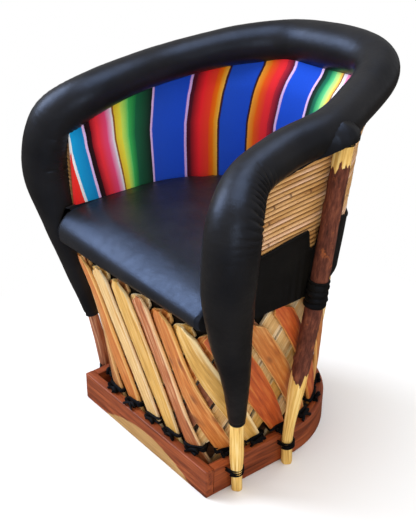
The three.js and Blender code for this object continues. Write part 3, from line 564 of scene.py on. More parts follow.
# Stripes of the sarape from the left arm round the back to the right arm: where each begins, in shares of
# the wall's run counted from its right end, and the colours that it fades between
STRIPES = [
    (1.060, "#c8101c", "#ff2a20"),
    (1.034, "#f6f2ee", "#f6f2ee"),
    (1.029, "#0a8cc0", "#0878b0"),
    (0.9995, "#d8b8e8", "#c8a8dc"),
    (0.9945, "#0a0608", "#2a0810"),
    (0.984, "#7a1018", "#f0303c"),
    (0.967, "#ff2f40", "#ff4470"),
    (0.951, "#f85080", "#ffb0c8"),
    (0.940, "#ffc8d0", "#ffe4e0"),
    (0.9355, "#7a4a14", "#8a5c20"),
    (0.932, "#e8b82c", "#dcd440"),
    (0.919, "#c4e054", "#50bc60"),
    (0.905, "#38a850", "#14703c"),
    (0.891, "#145c3a", "#101c1a"),
    (0.857, "#d0b0e4", "#c8a8e0"),
    (0.852, "#1c48b4", "#1644b8"),
    (0.7795, "#c8a4dc", "#c0a0d8"),
    (0.7745, "#380a20", "#48101c"),
    (0.767, "#5a121c", "#dc2028"),
    (0.747, "#ec2428", "#ff3a20"),
    (0.7285, "#ff4810", "#ff6c08"),
    (0.7185, "#ff800c", "#f8a440"),
    (0.710, "#301820", "#301820"),
    (0.7055, "#1c48b4", "#1644b8"),
    (0.6515, "#241420", "#301820"),
    (0.647, "#f89430", "#ff6410"),
    (0.635, "#ff5414", "#ff3028"),
    (0.621, "#f42c30", "#c82430"),
    (0.607, "#a82030", "#38122c"),
    (0.5925, "#c8a8dc", "#c8a8e0"),
    (0.5875, "#1648c0", "#1444b8"),
    (0.5335, "#d0b4ec", "#c8a8dc"),
    (0.5285, "#10181c", "#103428"),
    (0.519, "#145040", "#186c50"),
    (0.5105, "#208c58", "#60c080"),
    (0.4985, "#90d080", "#c8d870"),
    (0.4875, "#dccc58", "#dca050"),
    (0.4805, "#6a4418", "#6a4418"),
    (0.478, "#f0d8cc", "#f4c0d8"),
    (0.468, "#f088b0", "#f04870"),
    (0.450, "#f02838", "#801020"),
    (0.430, "#60101c", "#180408"),
    (0.400, "#d8b8e8", "#d8b8e8"),
    (0.395, "#0a90c0", "#0b86b5"),
    (0.350, "#f6f2ee", "#f6f2ee"),
    (0.345, "#080406", "#a00c18"),
    (0.325, "#f01c18", "#ff7a0c"),
    (0.298, "#ffa818", "#ffb828"),
    (0.290, "#100c10", "#100c10"),
    (0.286, "#1648c0", "#1444b8"),
    (0.235, "#d8b0e8", "#c9a0dc"),
    (0.230, "#041410", "#0a7a3a"),
    (0.205, "#30a048", "#e8d030"),
    (0.180, "#181008", "#181008"),
    (0.176, "#ffe4ec", "#ff6f98"),
    (0.160, "#ff2a38", "#2a0408"),
    (0.125, "#d8b8e8", "#d8b8e8"),
    (0.120, "#1648c0", "#1444b8"),
    (0.070, "#d8b0e8", "#d8b0e8"),
    (0.065, "#080406", "#f01c18"),
    (0.030, "#ff5a10", "#ffa818"),
    (0.010, "#100c10", "#100c10"),
    (0.005, "#0a90c0", "#0b86b5"),
]
STRIPES_END = -0.1
RAMP_STRIPES = 14  # as many as one ramp takes, with two stops each
STRIPE_BORDER = 0.002  # of a ramp, where one colour changes to the next
BLEACHED = 0.92


def sarape():
    """Hand-woven cotton sarape: dense weft stripes that fade from colour to colour, fully matt, and
    brightened with painted light.
    """
    material, tree, cloth = surface("sarape_weave")
    place = object_place(tree)
    # Neighbouring threads end a little apart, so borders are slightly ragged
    fray = speckle(tree, place, 0.003, 2.0)
    ragged = reckon(tree, "MULTIPLY_ADD", fray, 0.0016, attribute(tree, "stripe_run"))
    shown = None
    starts = [stripe[0] for stripe in STRIPES] + [STRIPES_END]
    for first in range(0, len(STRIPES), RAMP_STRIPES):
        group = STRIPES[first:first + RAMP_STRIPES]
        high, low = starts[first], starts[first + len(group)]
        stops = []
        for i, (start, begin, end) in enumerate(group):
            until = starts[first + i + 1]
            stops.append(((high - start) / (high - low), begin))
            stops.append((max((high - until) / (high - low) - STRIPE_BORDER, 0), end))
        tones = ramp(tree, ranged(tree, ragged, high, low), stops)
        if shown is None:
            shown = tones
        else:
            shown = mix_tones(tree, reckon(tree, "LESS_THAN", ragged, high), shown, tones)
    # Weft threads lie about 0.8 mm apart; they are drawn every 2 mm so that they show
    weft = reckon(tree, "MULTIPLY", attribute(tree, "stripe_height"), 2 * math.pi / 0.002)
    fuzz = speckle(tree, place, 0.0015, 3.0)
    thread = reckon(tree, "MULTIPLY_ADD", reckon(tree, "SINE", weft), 0.25, fuzz)
    # Beside the weft's light and dark threads, every colour is raised 1.22 to 1.5 times: painted light
    # against the shade inside the back
    dye_and_painted_light = brightened(tree, shown, ranged(tree, thread, 0.1, 0.9, 1.22, 1.5))
    # No yarn throws back more light than bleached cotton
    bleached = add(tree, "ShaderNodeVectorMath", {0: dye_and_painted_light, 1: (BLEACHED,) * 3}, operation="MINIMUM")
    dress(tree, cloth, bleached.outputs["Vector"], relief(tree, thread, 0.35, 0.0006),
          {"Roughness": 0.92, "Specular IOR Level": 0.15, "Sheen Weight": 0.08})
    return material


def split_wood(name, face, streak, edge, knots=0.0):
    """Rough-split cedar: straight grain along the piece, darker streaks, paler sapwood on its cut edges."""
    material, tree, wood = surface(name)
    grain = attribute(tree, "grain", "Vector")
    # Growth rings show as lines about 3 mm apart, drawn out along the grain
    fibres = speckle(tree, grain, (0.006, 0.09, 0.006), 5.0, 0.62, 0.4)
    fine = speckle(tree, grain, (0.0016, 0.05, 0.0016), 3.0)
    broad = speckle(tree, grain, (0.02, 0.22, 0.02), 2.0)
    lines = ramp(tree, fibres, [(0.3, streak), (0.52, face), (0.8, edge)])
    toned = mix_tones(tree, ramp(tree, broad, [(0.38, 0.0), (0.7, 0.5)]), lines, colour(face))
    grained = brightened(tree, toned, ranged(tree, fine, 0.3, 0.7, 0.84, 1.08))
    rim = reckon(tree, "MULTIPLY_ADD", fibres, 0.9, attribute(tree, "cut_edge"))
    shown = mix_tones(tree, ranged(tree, rim, 0.82, 1.2), grained, colour(edge))
    if knots:
        knot_place = stretched(tree, grain, (0.045, 0.11, 0.045))
        cells = add(tree, "ShaderNodeTexVoronoi", {"Vector": knot_place, "Scale": 1.0}).outputs["Distance"]
        shown = mix_tones(tree, ranged(tree, cells, 0.05, 0.16, knots, 0.0), shown, colour("#5a3020"))
    dress(tree, wood, shown, relief(tree, fine, 0.25, 0.0004, relief(tree, fibres, 0.4, 0.0008)),
          {"Roughness": 0.55, "Specular IOR Level": 0.35})
    return material


def board_wood():
    """Oiled mesquite heartwood, reddish brown, with a pale wedge of sapwood along the front board's foot."""
    material, tree, wood = surface("mesquite_board")
    grain = attribute(tree, "grain", "Vector")
    rings = speckle(tree, grain, (0.16, 0.009, 0.009), 6.0, 0.65, 0.6)
    fine = speckle(tree, grain, (0.05, 0.0018, 0.0018), 3.0)
    heart = ramp(tree, rings, [(0.28, "#52200c"), (0.48, "#8a3e1a"), (0.62, "#a65226"), (0.8, "#bc6e3c")])
    sap = ramp(tree, rings, [(0.3, "#a2763e"), (0.55, "#bc9258"), (0.8, "#cfab76")])
    border = reckon(tree, "MULTIPLY_ADD", rings, 0.5, attribute(tree, "sapwood"))
    mixed = mix_tones(tree, ranged(tree, border, 0.7, 0.82), heart, sap)
    dress(tree, wood, brightened(tree, mixed, ranged(tree, fine, 0.3, 0.7, 0.82, 1.08)),
          relief(tree, rings, 0.3, 0.001), {"Roughness": 0.48})
    return material


def bark_wood(name, pared_stops):
    """A branch with its bark on: reddish brown, scuffed to orange, with pared wood where it is bare."""
    material, tree, wood = surface(name)
    grain = attribute(tree, "grain", "Vector")
    ridges = speckle(tree, grain, (0.007, 0.03, 0.007), 8.0, 0.7)
    scuffs = speckle(tree, grain, 0.022, 6.0, 0.68)
    bark = ramp(tree, ridges, [(0.3, "#34190f"), (0.46, "#5a2c1e"), (0.6, "#763f2b"), (0.78, "#965a3c")])
    scuffed = mix_tones(tree, ranged(tree, scuffs, 0.6, 0.72), bark, colour("#b8642c"))
    pared = ramp(tree, speckle(tree, grain, (0.004, 0.08, 0.004), 4.0), pared_stops)
    border = reckon(tree, "MULTIPLY_ADD", scuffs, 0.8, attribute(tree, "bare"))
    dress(tree, wood, mix_tones(tree, ranged(tree, border, 0.86, 0.94), scuffed, pared),
          relief(tree, ridges, 0.7, 0.0016), {"Roughness": 0.75, "Specular IOR Level": 0.25})
    return material


def reed_cane():
    """Dry carrizo cane, straw-coloured and slightly glossy, with a dark ring at each joint of the stem, and
    painted shade in the grooves between rows.
    """
    material, tree, cane = surface("dry_cane")
    grain = attribute(tree, "grain", "Vector")
    # Fibres of about 0.3 mm are drawn 1 mm wide
    fibres = speckle(tree, grain, (0.09, 0.001, 0.001), 3.0)
    lengths = speckle(tree, grain, (0.12, 0.03, 5.0), 1.0)
    spots = speckle(tree, grain, 0.009, 4.0, 0.7)
    straw = ramp(tree, lengths, [(0.32, "#c08a4c"), (0.45, "#d8a664"), (0.56, "#e6b67c"), (0.68, "#ecc09c")])
    shown = brightened(tree, straw, ranged(tree, fibres, 0.3, 0.7, 0.86, 1.08))
    shown = mix_tones(tree, ranged(tree, spots, 0.64, 0.74, 0.0, 0.75), shown, colour("#7c4a28"))
    shown = mix_tones(tree, attribute(tree, "cane_joint"), shown, colour("#5a3820"))
    # Painted shade: the grooves between the rows of canes are darkened
    shown = mix_tones(tree, attribute(tree, "cane_gap_shade"), shown, colour("#8a5c34"))
    dress(tree, cane, shown, relief(tree, fibres, 0.2, 0.0004), {"Roughness": 0.5})
    return material


def plain_wood(name, dark, light, roughness=0.6):
    """Wood or rawhide that is mostly hidden, such as a hoop: fine rings by place."""
    material, tree, wood = surface(name)
    rings = speckle(tree, object_place(tree), (0.04, 0.04, 0.003), 5.0)
    dress(tree, wood, ramp(tree, rings, [(0.3, dark), (0.7, light)]), relief(tree, rings, 0.3, 0.001),
          {"Roughness": roughness})
    return material


roll_leather = black_cowhide("cowhide_roll")
# The seat's bluer tint is a painted reflection: it colours the band of light along the rolled front edge
# sky-blue
seat_leather = black_cowhide("cowhide_seat", shade="#1a1816", light="#262422", roughness=0.4, sheen=0.62,
                             tint="#8ab2f2")
skirt_leather = black_cowhide("cowhide_skirt", shade="#14110c", light="#1e1b15", roughness=0.55, sheen=0.15)
thong_leather = black_cowhide("cowhide_thong", shade="#0d0b09", light="#171410", roughness=0.6, sheen=0.15)
sarape_weave = sarape()
board_material = board_wood()
bark_material = bark_wood("bark_and_pared_wood", [(0.25, "#b4823c"), (0.5, "#e8bd68"), (0.75, "#f6dc9a")])
# A darker, browner copy of the pared wood for the left front pole, which is seen in shade: painted shade
pole_painted_shade = bark_wood("peeled_pole_painted_shade", [(0.3, "#7c4a34"), (0.55, "#a5684a"), (0.8, "#dcb890")])
cane_material = reed_cane()
hoop_wood = plain_wood("hoop_wood", "#4a3020", "#6e4a30")
core_wood = plain_wood("peeled_pole", "#c89a58", "#e2bd80")
rawhide = plain_wood("rawhide_sling", "#8a6a48", "#ae8a60", 0.7)
SLAT_TONES = {
    "cream": split_wood("cedar_cream", "#e0b878", "#c08a44", "#f4deb4"),
    "yellow": split_wood("cedar_yellow", "#d8a650", "#b07c30", "#f0d49c"),
    "orange": split_wood("cedar_orange", "#c87630", "#9c4e1e", "#e6b26c", knots=0.6),
    "orange_red": split_wood("cedar_orange_red", "#c2561e", "#8e3612", "#dc9448", knots=0.6),
    "red_brown": split_wood("cedar_red_brown", "#b86a3a", "#884424", "#f0cc9c"),
    "purple_brown": split_wood("cedar_purple_brown", "#94583c", "#683828", "#cc9464", knots=0.9),
    "brown": split_wood("cedar_brown", "#aa6a34", "#784420", "#e2b478", knots=0.7),
}
SEEN_TONES = {
    "outer": ["cream", "yellow", "red_brown", "orange", "yellow", "orange_red", "orange", "orange_red",
              "orange", "yellow", "red_brown", "cream", "orange", "yellow", "brown", "cream", "orange",
              "red_brown", "brown", "orange"],
    "inner": ["orange", "purple_brown", "cream", "cream", "yellow", "cream", "brown", "orange", "cream",
              "yellow", "orange", "red_brown", "yellow", "cream", "orange", "yellow", "brown", "cream",
              "orange", "yellow"],
}


# Lattice

BOARD_INSIDE = BOARD_THICKNESS + FOOT_CLEARANCE
foot_plan = closed_plan(BASE_HALF_WIDTH - BOARD_INSIDE, BASE_FRONT - BOARD_INSIDE, BASE_ARC_START,
                        BASE_BACK - BOARD_INSIDE, LATTICE_CORNER)
head_plan = closed_plan(HEAD_HALF_WIDTH, HEAD_FRONT, HEAD_ARC_START, HEAD_BACK, LATTICE_CORNER)
KNOT_HEIGHT = BOARD_HEIGHT + 3.3


def lattice_point(place, height, depth):
    """A point of the lattice, by its place round the chair in pitches, its height, and its depth inwards."""
    place, height, depth = np.broadcast_arrays(*(np.asarray(v, float) for v in (place, height, depth)))
    level = ((height - KNOT_HEIGHT) / (HEAD_HEIGHT - KNOT_HEIGHT))[..., None]
    head_place = place + HEAD_PHASE_SHARE
    crowding = FRONT_CROWDING_SHARE * np.sin(2 * math.pi * head_place / PAIRS) / (2 * math.pi)
    foot, foot_out = on_plan(foot_plan, ((place + FOOT_PHASE_SHARE) / PAIRS) % 1)
    head, head_out = on_plan(head_plan, (head_place / PAIRS - crowding) % 1)
    out = unit(foot_out * (1 - level) + head_out * level)
    point = foot * (1 - level) + head * level - out * depth[..., None]
    return np.concatenate([point, height[..., None]], -1)


def round_step(place, height):
    """The step from just before a place to just after it, a tenth of a pitch in all."""
    return lattice_point(place + 0.05, height, 0) - lattice_point(place - 0.05, height, 0)


def pitch_at(place, height):
    return np.linalg.norm(round_step(place, height), axis=-1) * 10


LEAN_REACH = HEAD_HEIGHT - KNOT_HEIGHT
LEAN_ANGLE = math.atan(LEAN_PITCH_SHARE * float(pitch_at(0.0, HEAD_HEIGHT / 2)) / LEAN_REACH)


def cedar_slat(number, layer):
    """One split slat: slightly crowned, its edges wavering, its head pared to a blunt point."""
    turn = -1 if layer == "outer" else 1
    seed = number + (0 if layer == "outer" else PAIRS)
    foot_place = number + 0.5
    head_place = ((foot_place + turn * LEAN_PITCH_SHARE) / PAIRS + 0.5) % 1 * PAIRS - PAIRS / 2
    top = FRONT_HEAD_TOP if abs(head_place) < FRONT_HEAD_REACH else SIDE_HEAD_TOP
    broad = layer == "outer" and number == BROAD_SLAT
    belly = BROAD_SLAT_WIDTH if broad else SLAT_WIDTH * (1 + SLAT_BELLY_SHARE * hand_share(seed))
    foot_width = SLAT_WIDTH * FOOT_WIDTH_SHARES[layer]
    straight = np.linspace(SLAT_FOOT_HEIGHT, top - 18, 44)
    heights = np.concatenate([straight, top - np.array([13, 9, 5, 2, 0.6, 0])])
    clear_top = KNOT_HEIGHT + 7.2
    level = (heights - clear_top) / (top - 16 - clear_top)
    widths = [foot_width, lerp(foot_width, belly, 0.5), lerp(foot_width, belly, 0.8), belly, belly,
              belly if broad else SLAT_WIDTH]
    width = np.interp(level, [0, 0.18, 0.4, 0.62, 0.84, 1], widths)
    place = foot_place + turn * LEAN_PITCH_SHARE * (heights - KNOT_HEIGHT) / LEAN_REACH
    pitch = pitch_at(place, heights) * math.cos(LEAN_ANGLE)
    if layer == "inner":
        wider = np.minimum(width + INNER_SLAT_WIDENING, pitch - INNER_SLAT_GAP)
        width = lerp(width, wider, smooth(level, -0.05, 0.12))
    head = smooth(heights, top - SLAT_HEAD_LENGTH, top)
    # The hand-pared head slants to one side
    slant = hand_share(seed * 7 + 3)
    width = width * (1 - HEAD_TAPER * head)
    thick = SLAT_THICKNESS * (1 - HEAD_THINNING * head)
    waver = hand_share(seed * 3 + 1) * np.sin(level * 5 + seed) * EDGE_WAVER + slant * head * HEAD_SLANT
    # Section, from one face round to the other: share of half the width, share of the thickness
    section = [(-1, 0.5), (-0.985, 0.14), (-0.9, 0.0), (-0.45, 0.0), (0, 0.0), (0.45, 0.0), (0.9, 0.0),
               (0.985, 0.14), (1, 0.5), (0.985, 0.86), (0.9, 1.0), (0, 1.0), (-0.9, 1.0), (-0.985, 0.86)]
    depth_start = 0 if layer == "outer" else LAYER_SPACING
    crown = 0.9 + 0.4 * hand_share(seed * 5)
    points, grain, edges = [], [], []
    for across, deep in section:
        side = 0.5 * width * across + waver
        swell = crown * (1 - across ** 2) * (1 - 2 * deep)
        dent = 0.45 * rough(stacked(across * 14, heights, seed * 31.0), 24) * (1 - 2 * deep)
        depth = depth_start + deep * thick + 0.5 * (SLAT_THICKNESS - thick) - swell - dent
        depth = np.maximum(depth, depth_start - 1.2)
        inset = rough(stacked(heights, seed * 13.0, across), 30)
        side = side - 0.7 * np.sign(across) * abs(across) ** 8 * (1 + inset)
        points.append(lattice_point(place + side / pitch, heights, depth))
        grain.append(stacked(side, heights * 1.1, depth + seed * 60.0) * MM)
        sap = (0.5 + 0.5 * hand_share(seed * 11)) * np.interp(across, [-0.2, 0.45, 0.9], [0, 0.42, 0.95])
        edges.append(np.full_like(heights, 1.0 if abs(across) > 0.95 else sap))
    points = np.stack(points, 1)
    values = {"grain": np.stack(grain, 1).reshape(-1, 3), "cut_edge": np.stack(edges, 1).ravel()}
    material = SLAT_TONES[SEEN_TONES[layer][number]]
    word = f"slat_{layer}_{number + 1:02d}"
    return finish_piece(loft(f"cedar_{word}", points, material, values, sharp=50), "slat_wood", word)


for layer in ("outer", "inner"):
    for number in range(PAIRS):
        cedar_slat(number, layer)


# Base boards

def rounded_section(width, height, radius, steps=4, sides=14):
    """A rectangle with rounded corners, as points across and up from its middle."""
    points = []
    for centre_x, centre_y, start in ((1, 1, 0), (-1, 1, 1), (-1, -1, 2), (1, -1, 3)):
        for i in range(steps + 1):
            angle = (start + i / steps) * math.pi / 2
            points.append((centre_x * (width / 2 - radius) + radius * math.cos(angle),
                           centre_y * (height / 2 - radius) + radius * math.sin(angle)))
        if centre_y * centre_x < 0:
            for t in np.linspace(0, 1, sides)[1:-1]:
                points.append((centre_x * width / 2, lerp(centre_y, -centre_y, t) * (height / 2 - radius)))
    return np.array(points)


def front_board():
    """The straight board in front, its edges worn round."""
    section = rounded_section(BOARD_THICKNESS, BOARD_HEIGHT, BOARD_ROUND)
    stations = np.concatenate([[-1, -0.997, -0.99], np.linspace(-0.97, 0.97, 90), [0.99, 0.997, 1]])
    stations *= BASE_HALF_WIDTH
    shrink = np.concatenate([[0.86, 0.95, 0.985], np.ones(90), [0.985, 0.95, 0.86]])
    middle_y = -(BASE_FRONT - BOARD_THICKNESS / 2)
    rings = []
    for x, share in zip(stations, shrink):
        z = BOARD_HEIGHT / 2 + section[:, 1] * (1 - (1 - share) * 0.35)
        rings.append(stacked(x, middle_y + section[:, 0] * share, z))
    rings = np.array(rings)
    wear = rough(rings, 30, 4) * 0.5
    rings[..., 1] += wear * np.sign(rings[..., 1] - middle_y) * 0.6
    rings[..., 2] = np.maximum(rings[..., 2] + wear * (rings[..., 2] > BOARD_HEIGHT / 2), 0)
    # The pale wedge is deepest right of the middle and runs out towards both ends
    lens = np.clip(1 - ((rings[..., 0] - WEDGE_MIDDLE) / WEDGE_REACH) ** 2, 0, 1)
    sapwood = np.clip((WEDGE_HEIGHT * lens - rings[..., 2]) / WEDGE_BORDER, -1, 1) * 0.5 + 0.25
    sapwood[rings[..., 1] > -BASE_FRONT + 6] = -1
    values = {"grain": rings.reshape(-1, 3) * MM, "sapwood": sapwood.ravel()}
    obj = loft("front_board", rings, board_material, values, sharp=60)
    return finish_piece(obj, "base_wood", "base_front_board")


def bent_board():
    """The board bent round sides and back, with its grain along the bend."""
    start = -(BASE_FRONT - BOARD_THICKNESS) + BASE_CLEARANCE
    outer = open_plan(BASE_HALF_WIDTH, start, BASE_ARC_START, BASE_BACK)
    section = rounded_section(BOARD_THICKNESS, BOARD_HEIGHT, BOARD_ROUND)
    shares = np.linspace(0, 1, 240)
    place, out = on_plan(outer, shares)
    across = section[:, 0] - BOARD_THICKNESS / 2
    flat = place[:, None] + out[:, None] * across[None, :, None]
    up = np.broadcast_to(BOARD_HEIGHT / 2 + section[:, 1], flat.shape[:2])
    rings = np.concatenate([flat, up[..., None]], -1)
    wear = rough(rings, 30, 9) * 0.5
    rings[..., 2] = np.maximum(rings[..., 2] + wear * (rings[..., 2] > BOARD_HEIGHT / 2), 0)
    grain = stacked((shares * outer.length)[:, None], across + 300, up)
    values = {"grain": grain.reshape(-1, 3) * MM, "sapwood": np.full(up.size, -1.0)}
    obj = loft("bent_board", rings, board_material, values, sharp=60)
    return finish_piece(obj, "base_wood", "base_bent_board")


front_board()
bent_board()


# Roll

def roll_half(side):
    """The roll's stations from the back's middle down to a leg's foot."""
    left = side < 0
    rows = []
    for across, back, up, thick, drop, rise, fuller, out in ROLL_SHARES:
        rows.append((side * (across * ROLL_REACH + left * out * LEFT_TIP_OUT), back * ROLL_BACK,
                     up * ROLL_HEIGHT + left * (rise * LEFT_ARM_RISE - drop * LEFT_BACK_DROP),
                     thick * ROLL_RADIUS + left * fuller * LEFT_ARM_FULLNESS))
    return rows


def core_foot(side):
    """Where a front pole stands on the ground beside the base, and how thick it is there."""
    x = side * (BASE_HALF_WIDTH + BASE_CLEARANCE + FRONT_POST_RADIUS)
    return (x, FRONT_POST_FOOT_Y, 0, FRONT_POST_RADIUS)


def eased(rows, reach):
    """The same line with its bends drawn out, so that no turn is sharper than padding allows."""
    run = Run(rows[:, :3])
    at = np.linspace(0, 1, int(run.length / EASE_STEP))
    even = np.stack([np.interp(at, run.at, column) for column in rows.T], -1)
    half = int(reach / EASE_STEP)
    window = np.hanning(2 * half + 3)[1:-1]
    window /= window.sum()
    longer = np.concatenate([2 * even[0] - even[half:0:-1], even, 2 * even[-1] - even[-2:-half - 2:-1]])
    return np.stack([np.convolve(column, window, "valid") for column in longer.T], -1)


roll_rows = [core_foot(-1), *roll_half(-1)[::-1], *roll_half(1)[1:], core_foot(1)]
pole_line = through(roll_rows, ROLL_STEPS)
pole_run = Run(pole_line[:, :3])
core_line = eased(pole_line, EASE_REACH)
behind = smooth(core_line[:, 1], 20, 130)[:, None]
core_line = lerp(core_line, eased(pole_line, EASE_REACH_BEHIND), behind)
core_run = Run(core_line[:, :3])
core_radius = core_line[:, 3]
roll_from = float(pole_run.at[ROLL_STEPS]) + TIP_RISES[0] / core_run.length
roll_to = float(pole_run.at[-ROLL_STEPS - 1]) - TIP_RISES[1] / core_run.length


def roll_radius(share):
    return np.interp(share, core_run.at, core_radius)


def padded_roll():
    """Padding and leather round the bent pole, gathered where it turns down into the legs."""
    even = np.linspace(roll_from, roll_to, 440)
    centre = core_run.place(even)
    ahead = unit(np.gradient(centre, axis=0))
    tight = np.linalg.norm(np.gradient(ahead, axis=0), axis=1)
    tight[(centre[:, 1] > ELBOW_FRONT) | (centre[:, 2] < ELBOW_LOWEST)] = 0
    near = GATHER_REACH / core_run.length
    half = len(even) // 2
    elbows = [even[tight[:half].argmax()], even[half + tight[half:].argmax()]]
    denser = [np.linspace(elbow - 1.4 * near, elbow + 1.4 * near, 150) for elbow in elbows]
    shares = np.unique(np.concatenate([even] + denser))
    centre = core_run.place(shares)
    radius = roll_radius(shares)
    sides = 64
    around = round_about(centre, sides)
    walked = shares * core_run.length
    base = centre[:, None] + around * radius[:, None, None]
    strength = np.zeros(base.shape[:2])
    for elbow in elbows:
        turn = core_run.heading(elbow + near * 0.6) - core_run.heading(elbow - near * 0.6)
        from_elbow = (shares - elbow) / near
        outer_side = np.sign(elbow - 0.5)
        along = np.exp(-(np.maximum(np.abs(from_elbow + 0.45 * outer_side) - 0.25, 0) / 0.42) ** 2)
        # They run from the bend's inside on to the arm's outer side
        towards = unit(unit(turn) + np.array([1.2 * outer_side, 0, 0]))
        inward = (around * towards).sum(-1)
        # Each gather runs out at a place of its own
        ragged = 0.28 * np.sin(np.round(walked / GATHER_PITCH) * 12.7)[:, None]
        pulled = GATHER_STRENGTHS[hand(outer_side)] * along[:, None]
        strength = np.maximum(strength, pulled * smooth(inward + ragged, -0.3, 0.4))
    shake = rough(stacked(walked[:, None], full_circle(sides) * 16, 0), 26, 2)
    gathers = np.abs(np.sin(walked[:, None] * math.pi / GATHER_PITCH + 1.3 * shake)) ** 0.7 - 1
    fine = rough(base * [1, 1, 1.6], 10, 7) * (0.2 + 0.9 * strength)
    lumps = rough(base, 85, 5) * 0.9 + rough(base, 30, 6) * 0.35
    height = radius[:, None] - 1.0 + lumps + GATHER_DEPTH * gathers * strength + fine
    # The leather is drawn tight at each leg's tip
    from_tip = np.minimum(walked - walked[0], walked[-1] - walked)[:, None]
    height = height - 2.2 * np.exp(-((from_tip - 5) / 4.0) ** 2)
    rings = centre[:, None] + around * height[..., None]
    bores = [centre[i] + around[i] * (FRONT_POST_RADIUS + 0.6) for i in (0, -1)]
    rings = np.concatenate([bores[:1], rings, bores[1:]])
    obj = loft("padded_roll", rings, roll_leather, sharp=70)
    held = np.zeros(rings.shape[:2])
    held[:3] = held[-3:] = 1
    held[1:-1] = np.maximum(held[1:-1], strength > 0.05)
    plump(obj, 3.0, 1.5, held.ravel())
    return finish_piece(obj, "leather_black", "arm_back_roll")


padded_roll()


# Back wall

wall_foot_plan = open_plan(WALL_HALF_WIDTH, WALL_FRONT_EDGE, WALL_ARC_START, WALL_BACK)
wall_top_plan = open_plan(WALL_TOP_HALF_WIDTH, WALL_FRONT_EDGE, WALL_TOP_ARC_START, WALL_TOP_BACK)
roll_shares = np.linspace(roll_from, roll_to, 300)
roll_centres = core_run.place(roll_shares)
roll_radii = roll_radius(roll_shares)


def wall_point(share, height, out):
    """A point of the wall, by its share of the run from the right front edge, height, and way out."""
    share, height, out = np.broadcast_arrays(*(np.asarray(v, float) for v in (share, height, out)))
    level = ((height - WALL_FOOT) / (WALL_TOP - WALL_FOOT))[..., None]
    foot, foot_out = on_plan(wall_foot_plan, np.clip(share, 0, 1))
    top, top_out = on_plan(wall_top_plan, np.clip(share, 0, 1))
    direction = unit(foot_out * (1 - level) + top_out * level)
    behind = smooth(np.minimum(share, 1 - share), 0.14, 0.3)
    flare = np.maximum(0, height - FLARE_FROM) * FLARE_SLOPE_SHARE * behind
    point = foot * (1 - level) + top * level + direction * (out + flare)[..., None]
    forward = np.maximum(0, -share) + np.maximum(0, share - 1)
    point[..., 1] -= forward * wall_foot_plan.length
    return np.concatenate([point, height[..., None]], -1)


def under_roll(share, out, into=6.0):
    """The height at which the wall meets the roll, a little inside its leather."""
    heights = np.linspace(480, 760, 141)
    points = wall_point(share, heights, out)
    away = np.linalg.norm(points[:, None] - roll_centres[None], axis=-1) - roll_radii[None]
    nearest = away.min(1)
    inside = np.nonzero(nearest < 0)[0]
    if len(inside):
        return heights[inside[0]] + into
    return heights[nearest.argmin()] + into


WALL_LENGTH = wall_foot_plan.length
LINING_REACH = (WALL_FRONT_EDGE - LINING_FRONT_EDGE) / WALL_LENGTH


def stripe_run(share, height):
    """Which stripe lies at a place. They lean forward near the arm, and swing aside at the top."""
    level = (height - LINING_FOOT) / (WALL_TOP - LINING_FOOT)
    lean = np.interp(share, [0.78, 0.855, 0.875, 0.89, 0.905, 0.92, 0.935, 0.985, 1.0, 1.03],
                     [0, 0.01, 0.006, 0.018, 0.031, 0.042, 0.046, 0.044, 0.054, 0.04])
    swing = np.interp(level, [0, 0.2, 0.45, 0.6, 0.7, 0.8, 0.9, 1.0],
                      [0.012, 0.006, 0.0015, 0, 0.003, 0.006, 0.0125, 0.022])
    return share - lean * (level - 0.6) + swing


def sarape_back():
    """Striped cloth drawn over thin padding, from arm to arm."""
    shares = np.linspace(-LINING_REACH, 1 + LINING_REACH, 420)
    tops = np.array([under_roll(s, LINING_OUT - LINING_THICKNESS / 2) for s in shares[::6]])
    tops = np.interp(shares, shares[::6], tops)
    levels = np.linspace(0, 1, 44)
    heights = LINING_FOOT + (tops[:, None] - LINING_FOOT) * levels[None]
    share_grid = np.broadcast_to(shares[:, None], heights.shape)
    inner = wall_point(share_grid, heights, LINING_OUT - LINING_THICKNESS)
    swell = LINING_SWELL * np.sin(math.pi * levels)[None] * np.ones_like(heights)
    tuck = LINING_THICKNESS * 0.55 * smooth(levels, 0.85, 1)[None]
    phase = 2.2 * rough(inner, 90, 3)
    ripple = 0.7 * np.sin(share_grid * WALL_LENGTH * 2 * math.pi / RIPPLE_PITCH + phase)
    soft = ripple * np.sin(math.pi * levels)[None] ** 0.6 + 0.8 * rough(inner, 60, 8)
    inner = wall_point(share_grid, heights, LINING_OUT - LINING_THICKNESS - swell + tuck - soft)
    outer = wall_point(share_grid, heights, LINING_OUT)
    rings = np.concatenate([inner, outer[:, ::-1]], 1)
    run = stripe_run(share_grid, heights)
    both = np.concatenate([run, run[:, ::-1]], 1)
    tall = np.concatenate([heights, heights[:, ::-1]], 1) * MM
    values = {"stripe_run": both.ravel(), "stripe_height": tall.ravel()}
    obj = loft("sarape_back", rings, sarape_weave, values, sharp=60)
    return finish_piece(obj, "sarape_cloth", "sarape_lining")


sarape_back()


def runs_of(keep):
    """The first and last index of each stretch that is kept."""
    edges = np.flatnonzero(np.diff(np.concatenate([[0], keep.astype(int), [0]])))
    return [(a, b) for a, b in zip(edges[::2], edges[1::2]) if b - a > 4]


